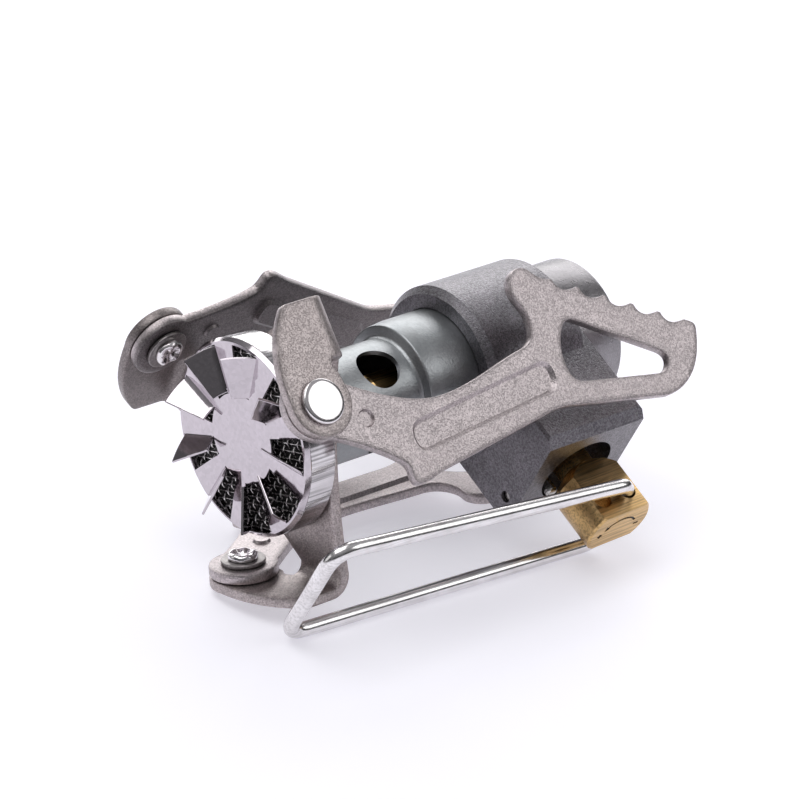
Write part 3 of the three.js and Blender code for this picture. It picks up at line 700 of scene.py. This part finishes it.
def burner_cap():
    edge = CUP_RADIUS - CAP_BEND + CAP_BEND * math.pi / 2
    rim = Outline(edge, 0).arc(edge, 0, 2 * math.pi, 150).loop(0.6)
    bend = Outline(CUP_RADIUS - CAP_BEND / 2, 0)
    bend.arc(CUP_RADIUS - CAP_BEND / 2, 0, 2 * math.pi, 150)
    bm = pressed_sheet(rim, cap_windows(), cap_plane, CAP_THICK, creases=[bend.loop(0.6)], step=0.9,
                       edge=0.1)
    low, high = WINDOW_INNER + 0.15, WINDOW_OUTER - 0.12
    spread = WINDOW_ANGLE - math.radians(1)
    flap = Outline(low, -0.25).line(high, -0.25)
    flap.arc(high, 0, spread, 9).arc(low, spread, math.radians(1), 5)
    outline = flap.loop(0.4)
    for turn in window_turns():
        pressed_sheet(outline, [], flap_bend(turn), CAP_THICK * 0.9, creases=[inward(outline, 0.16)],
                      step=0.5, edge=0.1, into=bm)
    piece("burner_cap_plate", bm, STOVE, "stove_head", "cap_steel", ["burner_cap"])


def woven_wire(across, index, reach, sway):
    """One wire of the screen, waving over and under the wires that cross it."""
    side = index * SCREEN_PITCH
    length = math.sqrt(reach ** 2 - side ** 2)
    steps = int(length * 2 / (SCREEN_PITCH / 5))
    points = []
    for k in range(steps + 1):
        along = -length + 2 * length * k / steps
        wave = math.cos(math.pi * (along / SCREEN_PITCH + index)) * sway
        x, y = (side, along) if across else (along, side)
        points.append((x, y, SCREEN_LEVEL + (wave if across else -wave)))
    return points


def burner_screen():
    """Plain-woven round wire screen behind the cap's windows, with a near-black disc behind it as painted shade.
    """
    bm = bmesh.new()
    reach = CUP_RADIUS - CUP_WALL - GAP
    count = int(reach / SCREEN_PITCH)
    for across, sway in ((0, SCREEN_WIRE * 0.2), (1, SCREEN_WIRE * 2)):
        for index in range(-count, count + 1):
            rod(woven_wire(across, index, reach, sway), SCREEN_WIRE, 6, into=bm)
    piece("burner_screen", bm, STOVE @ Matrix.Rotation(SCREEN_TURN, 4, "Z"), "stove_head",
          "mesh_steel", ["burner_mesh"], math.radians(80))
    # Painted shade: a thin near-black disc just behind the screen stands in for the shade inside the cup.
    front = SCREEN_LEVEL + 0.01
    back = front - 0.1
    dish = [(0, back), (reach - 0.4, back), (reach, back), (reach, front), (reach - 0.5, front),
            (0, front)]
    piece("burner_shade_disc", lathe(dish, 96), STOVE, "stove_head", "mesh_steel", finish="painted_shade_disc")


# ---------------- bracket

def ear_points():
    """Ear outline, sideways and axial from the rivet, from the bend's near edge round to its far."""
    root = ARM_TOP + BEND_INNER - RIVET_Z
    ear = Outline(ARM_FAR, root)
    ear.line(ARM_FAR, -0.4)
    ear.curve((ARM_FAR, 0.2), (ARM_FAR - 0.7, 0.7), steps=6)
    ear.curve((10.5, 3), (6.5, 5), polar(EAR_LOBE, math.radians(82)))
    ear.arc(EAR_LOBE, math.radians(82), math.radians(284), 44)
    ear.line(3.1, root)
    ear.curve((4.2, root + 1), (ARM_NEAR + 0.2, root), steps=9)
    return ear.points


def unfolded(side, axial, index):
    """An ear point's place in the flat blank that the bracket is bent from."""
    out = BEND_START + BEND_LENGTH + axial + RIVET_Z - ARM_TOP - BEND_INNER
    turn = ARM_TURN * index
    x, y = out, side + RIVET_SIDE
    return (x * math.cos(turn) - y * math.sin(turn), x * math.sin(turn) + y * math.cos(turn))


def bent_up(u, v, w):
    """The flat blank bent up at each arm. w is positive on the ear's outer side."""
    flat_z = ARM_TOP - SHEET / 2 - w
    out = np.stack([u, v, flat_z + 0 * u], 1)
    for index in range(ARM_COUNT):
        turn = ARM_TURN * index
        c, s = math.cos(turn), math.sin(turn)
        x, y = u * c + v * s, v * c - u * s
        past = x - BEND_START
        angle = np.clip(past / BEND_MIDDLE, 0, math.pi / 2)
        beyond = np.maximum(past - BEND_LENGTH, 0)
        nx = BEND_START + (BEND_MIDDLE + w) * np.sin(angle)
        nz = ARM_TOP + BEND_INNER - (BEND_MIDDLE + w) * np.cos(angle) + beyond
        moved = np.stack([nx * c - y * s, nx * s + y * c, nz], 1)
        out = np.where((past > 0)[:, None], moved, out)
    return out


def bracket_outline():
    """The flat blank: an ear at the end of every arm, with a hollow edge from arm to arm."""
    near, far = (BEND_START, RIVET_SIDE + ARM_NEAR), Vector((BEND_START, RIVET_SIDE + ARM_FAR))
    hollow = Vector((3.2, 10.6))
    blank = Outline(*near)
    for index in range(ARM_COUNT):
        spin = Matrix.Rotation(ARM_TURN * index, 2)
        ahead = Matrix.Rotation(ARM_TURN * (index + 1), 2)
        for side, axial in reversed(ear_points()):
            blank.line(*unfolded(side, axial, index))
        blank.line(*(spin @ far))
        blank.curve(tuple(spin @ hollow), tuple(ahead @ Vector(near)), steps=30)
    return blank.loop(0.5)


def support_bracket():
    holes = [circle(TUBE_RADIUS + GAP, steps=80)]
    for index in range(ARM_COUNT):
        holes.append(np.array([unfolded(x, y, index) for x, y in circle(RIVET_HOLE)]))
    bm = pressed_sheet(bracket_outline(), holes, bent_up, step=0.8)
    piece("bracket_star", bm, STOVE, "stove_head", "bracket_steel", ["support_bracket"])


# ---------------- pot supports

def support_outline():
    rail = (math.cos(RAIL_ANGLE), math.sin(RAIL_ANGLE))

    def along(distance, depth=0):
        return (RAIL_START[0] + distance * rail[0] + depth * rail[1],
                RAIL_START[1] + distance * rail[1] - depth * rail[0])

    edge = Outline(*polar(SUPPORT_LOBE, math.radians(-58)))
    edge.curve((1.4, -6.6), (-3.9, -13.5), (-3.9, -20), steps=24)
    edge.curve((-3.9, -26), (-2, -31), (-1.4, -35.6), steps=24)
    edge.curve((-1.1, -37.8), (0.2, -38.6), (2.2, -38.6))
    edge.curve((4.2, -38.6), (4.8, -37.5), (6.3, -37.5), steps=10)
    edge.curve((8.4, -37.5), (9.6, -39.2), (9.2, -40.7))
    edge.curve((8.9, -42.2), (7, -42.2), RAIL_START)
    for i in range(TOOTH_COUNT):
        edge.line(*along(i * TOOTH_PITCH + 0.5))
        valley = along(i * TOOTH_PITCH + 1.9, 1.9 * TOOTH_DEPTH)
        edge.curve(valley, along((i + 1) * TOOTH_PITCH), steps=10)
    edge.line(*along(TOOTH_COUNT * TOOTH_PITCH + 0.8))
    edge.curve((-5.5, -66.1), (-6.3, -65.9), steps=5)
    edge.curve((-9.5, -64.9), (-13.9, -62.5), (-14, -56.8), steps=20)
    edge.line(-11.2, -41)
    edge.curve((-10.7, -38.6), (-10.7, -37.6), (-11.1, -35.2))
    edge.line(-13.7, -15.6)
    edge.curve((-14.2, -13.2), (-15, -10.9), (-13.4, -10.7))
    edge.curve((-12.7, -10.6), (-12.2, -10.9), (-11.4, -10.6), steps=6)
    edge.curve((-9.6, -9.4), (-6.6, -4.4), polar(SUPPORT_LOBE, math.radians(188)))
    edge.arc(SUPPORT_LOBE, math.radians(188), math.radians(-58), 60)
    return edge.loop(0.4)


def rib_loop(half_width):
    h = half_width
    return rounded([(-8.6 - h, -13.4, 1.9), (-7.6 + h * 0.7, -13.4, 1.9),
                    (-5.7 + h, -39, 2), (-6.4 - h, -39, 2)], 0.45)


def pot_support(letter, index):
    """A folded support: blasted sheet with a toothed edge, a window, a pressed rib and a dimple."""
    window = rounded([(0.9, -44.6, 1.8), (-8.6, -59.6, 2), (-10.9, -58, 1.6),
                      (-8, -41.8, 2.4), (-2.8, -41.8, 2.6)], 0.4)
    holes = [window, circle(RIVET_HOLE)]
    middle_line = rib_loop(1.75)
    ribs = [inward(middle_line, offset) for offset in (-RIB_SLOPE, 0, RIB_SLOPE)]
    dimple = np.array(polar(7.9, math.radians(242)))
    creases = ribs + [circle(r, dimple, 18) for r in (0.5, 1.05, DIMPLE_RADIUS)]

    def press(points):
        sunk = np.where(within(points, ribs[1]), 1, -1) * distance_to(points, ribs[1])
        depth = -RIB_DEPTH * np.clip((sunk + RIB_SLOPE) / (2 * RIB_SLOPE), 0, 1)
        distance = np.hypot(*(points - dimple).T)
        return depth - DIMPLE_DEPTH * np.clip((DIMPLE_RADIUS - distance) / 0.25, 0, 1)

    middle = EAR_INNER - GAP - SHEET / 2

    def place(u, v, w):
        return np.stack([middle + w, u, v], 1)

    bm = pressed_sheet(support_outline(), holes, place, press=press, creases=creases)
    matrix = arm_matrix(index) @ Matrix.Rotation(FOLD_ANGLES[letter], 4, "X")
    # Blade b takes the finish whose inner face carries painted shade.
    piece(f"support_blade_{letter}", bm, matrix, f"support_{letter}", "support_steel",
          [f"pot_support_{letter}"], finish="support_shaded" if letter == "b" else None)


def crimp(bm, below, index):
    """Dents the rivet's tail, each rivet in its own way."""
    for vert in bm.verts:
        if vert.co.z < below:
            angle = math.atan2(vert.co.y, vert.co.x)
            radius = math.hypot(vert.co.x, vert.co.y)
            lump = math.sin(5 * angle + index) + 0.7 * math.sin(3 * angle + 2.1 * radius)
            vert.co.z += 0.09 * lump * min(1, radius / 0.8)
            vert.co.x *= 1 + 0.03 * math.sin(4 * angle)


def rivet(letter, index):
    """Polished round head outside the ear, a crimped tail inside the support, and its washer."""
    face = EAR_INNER + SHEET + 0.05
    tail = EAR_INNER - 2 * GAP - SHEET - 0.5
    profile = [(0, tail - 0.55), (0.9, tail - 0.6), (1.5, tail - 0.95), (1.95, tail - 0.75),
               (2.1, tail - 0.35), (2.05, tail - 0.05), (RIVET_SHANK, tail - 0.05),
               (RIVET_SHANK, face), (3, face), (3.15, face + 0.12), (3.15, face + 0.5),
               (3, face + 0.7), (2.6, face + 0.82), (1.6, face + 0.88), (0, face + 0.9)]
    bm = lathe(softened(profile, 0.1, 2), 72)
    crimp(bm, tail - 0.1, index)
    across = arm_matrix(index) @ ALONG_X
    piece(f"rivet_{letter}_turned", bm, across, "stove_head", "rivet_steel", [f"rivet_{letter}"])
    ring = [(RIVET_HOLE, tail), (3.1, tail), (3.1, tail + 0.5), (RIVET_HOLE, tail + 0.5)]
    piece(f"washer_{letter}_turned", lathe(softened(ring, 0.14, 3), 72), across, "stove_head",
          "washer_steel", [f"rivet_washer_{letter}"])


# ---------------- mixing tube, body, connector

def burner_tube():
    bore = TUBE_RADIUS - TUBE_WALL
    lip = -CUP_DEPTH + CUP_WALL + GAP
    foot = BODY_FRONT - SOCKET_DEPTH + GAP
    taper = SHOULDER_Z - 2.4
    profile = [
        (bore, lip + 0.5), (TUBE_RADIUS + 1.2, lip + 0.5), (TUBE_RADIUS + 1.2, lip),
        (TUBE_RADIUS, lip), (TUBE_RADIUS, SHOULDER_Z + 0.7), (TUBE_RADIUS + 0.25, SHOULDER_Z + 0.3),
        (TUBE_LARGE - 0.35, SHOULDER_Z), (TUBE_LARGE - 0.2, SHOULDER_Z - 0.15),
        (TUBE_LARGE, taper), (TUBE_LARGE, foot), (TUBE_LARGE - 1, foot),
        (TUBE_LARGE - 1, SHOULDER_Z - 1.5), (bore, SHOULDER_Z - 0.5),
    ]
    cuts = []
    lift = Matrix.Translation((0, 0, AIR_HOLE_Z))
    for i in range(AIR_HOLE_COUNT):
        turn = Matrix.Rotation(AIR_HOLE_TURN + 2 * math.pi * i / AIR_HOLE_COUNT, 4, "Z")
        cuts.append(bored(AIR_HOLE_RADIUS, 2, 12, turn @ lift @ ALONG_X))
    bm = carved(lathe(softened(profile, 0.12, 2), 128), cuts, bevel=0)
    piece("mixing_tube", bm, STOVE, "stove_head", "tube_plated", ["burner_tube"])


def gas_jet():
    foot = BODY_FRONT - SOCKET_DEPTH - 3.4
    collar = BODY_FRONT - SOCKET_DEPTH + 0.2
    tip = JET_TIP_Z
    profile = [(1, foot), (JET_RADIUS, foot), (JET_RADIUS, collar), (4, collar),
               (4, collar + 3.5), (3, collar + 4), (3, tip - 2.6), (1.6, tip - 0.6),
               (1.6, tip), (0.25, tip), (0.25, tip - 1), (1, tip - 2)]
    piece("gas_jet_turned", lathe(softened(profile, 0.12, 2), 64), STOVE, "stove_head", "brass",
          ["gas_jet"])


def valve_block_solid():
    """The block's own section, chamfered along its length and at its end."""
    half, length, c = BLOCK_HALF_WIDTH, BLOCK_HALF_LENGTH, BLOCK_EDGE
    section = [(half, length - c), (half - c, length), (c - half, length), (-half, length - c),
               (-half, c - length), (c - half, -length), (half - c, -length), (half, c - length)]
    stand = Matrix(((0, 0, 1, 0), (1, 0, 0, 0), (0, 1, 0, 0), (0, 0, 0, 1)))
    return prism(section, 2, BLOCK_END, stand)


def end_wedge(side):
    c = BLOCK_CHAMFER
    edge, out = side * BLOCK_HALF_WIDTH, side * (BLOCK_HALF_WIDTH + 1)
    corners = [(BLOCK_END - c, out), (BLOCK_END - c, edge), (BLOCK_END, edge - side * c),
               (BLOCK_END + 1, edge - side * c), (BLOCK_END + 1, out)]
    return prism(corners, -BLOCK_HALF_LENGTH - 1, BLOCK_HALF_LENGTH + 1)


def bored(radius, start, end, turn=None, segments=48):
    """A plain cylinder for cutting a bore."""
    return lathe([(0, start), (radius, start), (radius, end), (0, end)], segments, turn=turn)


def valve_body():
    """A turned collar joined to the block, bored for the tube, jet, connector and valve."""
    spin = Matrix.Rotation(VALVE_AZIMUTH, 4, "Z")
    to_valve = Matrix.Translation((0, 0, VALVE_Z)) @ spin
    collar = [(0, BODY_BACK), (BODY_RADIUS - 0.8, BODY_BACK), (BODY_RADIUS, BODY_BACK + 0.8),
              (BODY_RADIUS, BODY_FRONT - 1), (BODY_RADIUS - 1, BODY_FRONT), (0, BODY_FRONT)]
    block = carved(valve_block_solid(), [end_wedge(1), end_wedge(-1)], bevel=0)
    bmesh.ops.transform(block, matrix=to_valve, verts=block.verts)
    across = to_valve @ ALONG_X
    socket = BODY_FRONT - SOCKET_DEPTH
    pin = spin @ Matrix.Translation((*LOCK_PIN, VALVE_Z + 4))
    cuts = [
        bored(RECESS_RADIUS, BLOCK_END - RECESS_DEPTH, BLOCK_END + 1, across, 64),
        bored(GLAND_BORE, GLAND_START, BLOCK_END, across),
        bored(SPINDLE_BORE, SPINDLE_START, GLAND_START + 1, across),
        bored(TUBE_LARGE + GAP, socket, BODY_FRONT + 1, segments=96),
        bored(JET_RADIUS + GAP, socket - 3.6, socket + 1),
        bored(CONNECTOR_RADIUS + GAP, BODY_BACK - 4, BODY_BACK, segments=96),
        bored(FILTER_BORE, BODY_BACK - 1, BODY_BACK + 3.5),
        bored(PIN_RADIUS + 0.15, 0, 16, pin, 32),
    ]
    bm = carved(lathe(collar, 128), cuts, [block], 0.14, 2)
    piece("valve_body_machined", bm, STOVE, "stove_head", "body_blasted", ["valve_body"])
    profile = [(0, 0.2), (PIN_RADIUS, 0.2), (PIN_RADIUS, 4.1), (PIN_RADIUS - 0.15, 4.2), (0, 4.2)]
    piece("lock_pin_turned", lathe(softened(profile, 0.08, 2), 32), STOVE @ pin, "stove_head",
          "spindle_steel", ["lock_pin"])


def canister_connector():
    front = BODY_BACK - GAP
    profile = [
        (3, front + 1), (4.05, front + 1), (4.05, front), (CONNECTOR_RADIUS - 0.3, front),
        (CONNECTOR_RADIUS, front - 0.3), (CONNECTOR_RADIUS, CONNECTOR_BACK + 0.5),
        (CONNECTOR_RADIUS - 0.5, CONNECTOR_BACK), (THREAD_RADIUS + 0.7, CONNECTOR_BACK),
        (THREAD_RADIUS, CONNECTOR_BACK + 0.7), (THREAD_RADIUS, front - 1.6), (3, front - 1.6),
    ]
    bm = lathe(softened(profile, 0.15, 3), 128)
    piece("connector_turned", bm, STOVE, "stove_head", "connector_satin", ["canister_connector"])


# ---------------- valve trim, knob and wire

def valve_trim():
    across = VALVE @ ALONG_X
    top = BLOCK_END - RECESS_DEPTH - 0.2
    bore = SPINDLE_RADIUS + 0.08
    nut = [(bore, top - 1.8), (4.3, top - 1.8), (4.3, top - 0.3), (4, top), (2.4, top),
           (2.2, top - 0.3), (bore, top - 0.3)]
    piece("gland_nut_turned", lathe(softened(nut, 0.1, 2), 64), across, "stove_head", "brass",
          ["gland_nut"])
    foot = BLOCK_END - RECESS_DEPTH + GAP
    pin = [(0, foot), (0.9, foot), (0.9, BLOCK_END + 0.6), (0.7, BLOCK_END + 0.9),
           (0, BLOCK_END + 0.9)]
    beside = VALVE @ Matrix.Translation(STOP_PIN) @ ALONG_X
    piece("stop_pin_turned", lathe(softened(pin, 0.1, 2), 32), beside, "stove_head",
          "spindle_steel", ["stop_pin"])


def end_marks(low, high, radius=3.1, half=0.17, reach=0.45):
    """Turning marks for the knob's end: a curved arrow between a plus and a minus sign."""
    stand = Matrix(((0, 0, 1, 0), (0, 1, 0, 0), (-1, 0, 0, 0), (0, 0, 0, 1)))
    start, end, drop = math.radians(32), math.radians(140), (0, 1.3)
    arc = Outline(*polar(radius + half, start))
    arc.arc(radius + half, start, end, 24).arc(radius - half, end, start, 24)
    tip = [polar(radius, end + math.radians(14)), polar(radius - 0.5, end - math.radians(3)),
           polar(radius + 0.5, end - math.radians(3))]
    shapes = [arc.loop(0.6) - drop, np.array(tip) - drop]
    for x, dx, dy in ((3.3, reach, half), (-3.3, reach, half), (-3.3, half, reach)):
        corners = ((-dx, -dy), (dx, -dy), (dx, dy), (-dx, dy))
        shapes.append(np.array(corners) + (x, -0.7))
    return [prism(shape, low, high, stand) for shape in shapes]


def knob_marks_dark_fill():
    """The near-black fill laid into the marks cut in the knob's end."""
    mark_fill = bmesh.new()
    for mark in end_marks(KNOB_END - 0.3, KNOB_END - 0.12):
        filled = bpy.data.meshes.new("mark")
        mark.to_mesh(filled)
        mark.free()
        mark_fill.from_mesh(filled)
        bpy.data.meshes.remove(filled)
    # The near-black rubber finish under the knob's end face makes the marks read dark.
    piece("knob_mark_dark_fill", mark_fill, KNOB, "valve_knob", "seal_rubber")


def control_knob():
    """A round brass knob with two flats, two cross holes and marks cut in its end."""
    neck = BLOCK_END - RECESS_DEPTH + 0.2
    start, end = KNOB_CONE_START, KNOB_END
    profile = [(0, neck), (KNOB_NECK, neck), (KNOB_NECK, start), (3, start), (4.3, start + 0.9),
               (KNOB_RADIUS, KNOB_CONE_END), (KNOB_RADIUS, end - 0.3), (KNOB_RADIUS - 0.3, end),
               (0, end)]
    base = lathe(profile, 96, turn=ALONG_X)
    clear = 9                           # well outside the knob
    flat = np.array([(start - 1, KNOB_FLAT), (end + 1, KNOB_FLAT), (end + 1, clear),
                     (start - 1, clear)])
    cuts = [prism(flat * (1, side), -clear, clear) for side in (1, -1)]
    cuts.append(bored(SPINDLE_RADIUS + 0.06, neck - 1, SPINDLE_END + 0.1, ALONG_X, 32))
    lie = Matrix.Rotation(math.pi / 2, 4, "X")
    for offset in (-HOLE_OFFSET, HOLE_OFFSET):
        beside = Matrix.Translation((HOLE_S, 0, offset))
        cuts.append(bored(HOLE_RADIUS, -clear - 1, clear + 1, beside @ lie, 40))
    bm = carved(base, cuts + end_marks(end - 0.25, end + 0.5), bevel=0.07)
    piece("knob_brass", bm, KNOB, "valve_knob", "brass", ["control_knob"])
    knob_marks_dark_fill()


def wire_path():
    """The loop's flat path, from one end in the knob's cross hole round to the other."""
    end, straight = 1.4, 2
    corners = [(0, end, 0), (*WIRE_UPPER[0], 2.2), (*WIRE_UPPER[1], 3.4), (*WIRE_LOWER[1], 3.4),
               (*WIRE_LOWER[0], 2.8), (0, -KNOB_FLAT - 1.2, 1), (0, -end, 0)]
    points = [Vector((0, end))]
    for before, here, after in zip(corners, corners[1:], corners[2:]):
        sides = [Vector(place[:2]) for place in (before, here, after)]
        points += corner(*sides, here[2], 12)
    points.append(Vector((0, -end)))
    path = []
    for a, b in zip(points, points[1:]):
        parts = max(1, int((b - a).length / straight))
        path += [a.lerp(b, k / parts) for k in range(parts)]
    return path + points[-1:]


def wire_handle():
    """The folding wire loop, its two ends turned in to the knob's cross hole."""
    hinge = Matrix.Translation((HOLE_S, 0, -HOLE_OFFSET)) @ Matrix.Rotation(WIRE_TILT, 4, "Y")
    bm = rod([(0, p.y, p.x) for p in wire_path()], WIRE_RADIUS, 28)
    ends = [f for f in bm.faces if len(f.verts) > 4]
    rim = [e for f in ends for e in f.edges]
    bmesh.ops.bevel(bm, geom=rim, offset=0.2, segments=2, affect="EDGES")
    piece("wire_loop", bm, KNOB @ hinge, "handle", "stainless_polished", ["wire_handle"],
          finish="wire_bright")


def build():
    burner_cup()
    burner_cap()
    burner_screen()
    support_bracket()
    for index, letter in enumerate(FOLD_ANGLES):
        pot_support(letter, index)
        rivet(letter, index)
    burner_tube()
    gas_jet()
    valve_body()
    canister_connector()
    valve_trim()
    control_knob()
    wire_handle()
    dress_kept_nodes()


def dress_kept_nodes():
    """Gives the small nodes that are shown as they are in the part a finish each."""
    kept = {
        "mesh_ring": "ring_kept", "gas_filter": "filter_bronze", "canister_seal": "seal_rubber",
        "spindle_seal_inner": "seal_rubber", "spindle_seal_outer": "seal_rubber",
        "canister_pin": "spindle_kept", "valve_spindle": "spindle_kept",
    }
    for node, finish in kept.items():
        data = frame["nodes"][node].data
        data.materials.clear()
        data.materials.append(FINISHES[finish])


# ---------------- studio and camera

def floor():
    """A pale floor with a faint glow of its own, which keeps the shadows light."""
    bm = bmesh.new()
    bmesh.ops.create_grid(bm, x_segments=2, y_segments=2, size=3)
    data = bpy.data.meshes.new("floor")
    bm.to_mesh(data)
    bm.free()
    linked("floor", data)
    material = bpy.data.materials.new("floor")
    material.use_nodes = True
    looks = {"Base Color": (0.63, 0.625, 0.66, 1), "Roughness": 0.6, "Specular IOR Level": 0.1,
             "Emission Color": (0.94, 0.925, 1, 1), "Emission Strength": 0.47}
    for name, value in looks.items():
        material.node_tree.nodes["Principled BSDF"].inputs[name].default_value = value
    data.materials.append(material)


def panel(name, place, size, radiance):
    """A soft panel light that faces the stove."""
    light = bpy.data.lights.new(name, "AREA")
    light.shape = "RECTANGLE"
    light.size, light.size_y = size
    light.energy = radiance * math.pi * size[0] * size[1]
    obj = linked(name, light)
    obj.location = place
    direction = Vector((0, 0, 0.02)) - Vector(place)
    obj.rotation_euler = direction.to_track_quat("-Z", "Y").to_euler()


def surroundings():
    """A dim world that grows lighter overhead."""
    world = bpy.data.worlds.new("studio")
    world.use_nodes = True
    nodes, links = world.node_tree.nodes, world.node_tree.links
    place = nodes.new("ShaderNodeTexCoord")
    height = nodes.new("ShaderNodeSeparateXYZ")
    links.new(place.outputs["Generated"], height.inputs[0])
    shade = nodes.new("ShaderNodeMapRange")
    for name, number in (("From Min", 0.15), ("From Max", 0.9), ("To Min", 0.05), ("To Max", 0.4)):
        shade.inputs[name].default_value = number
    links.new(height.outputs["Z"], shade.inputs["Value"])
    links.new(shade.outputs["Result"], nodes["Background"].inputs["Strength"])
    nodes["Background"].inputs["Color"].default_value = (0.97, 0.97, 1, 1)
    bpy.context.scene.world = world


def studio():
    """A pale floor in soft light from large panels, the largest one behind the stove."""
    floor()
    panel("top", (-0.25, 0.15, 0.87), (0.8, 0.7), 2.2)
    panel("side", (0.5, -0.52, 0.52), (0.6, 0.45), 1.55)
    panel("back", (-0.7, 0.5, 0.3), (0.5, 0.4), 0.8)
    panel("backdrop", (0.54, 0.67, 0.46), (1.3, 0.75), 2.5)
    surroundings()
    bpy.context.scene.view_settings.view_transform = "Standard"


def camera():
    """A long lens looking down on the stove from its burner's front and side."""
    target = Vector((-0.001502, 0.001292, 0.019959))
    distance = 0.62448
    azimuth, elevation, roll = math.radians(48.733), math.radians(25.897), math.radians(2.335)
    ahead = Vector((math.cos(azimuth) * math.cos(elevation),
                    math.sin(azimuth) * math.cos(elevation), -math.sin(elevation)))
    level = ahead.cross(Vector((0, 0, 1))).normalized()
    upright = level.cross(ahead)
    right = level * math.cos(roll) + upright * math.sin(roll)
    up = upright * math.cos(roll) - level * math.sin(roll)
    data = bpy.data.cameras.new("camera")
    data.lens = 202.5
    data.sensor_width = 36
    data.clip_start = 0.01
    obj = linked("camera", data)
    basis = Matrix((right, up, -ahead)).transposed().to_4x4()
    obj.matrix_world = Matrix.Translation(target - ahead * distance) @ basis
    bpy.context.scene.camera = obj


build()
studio()
camera()
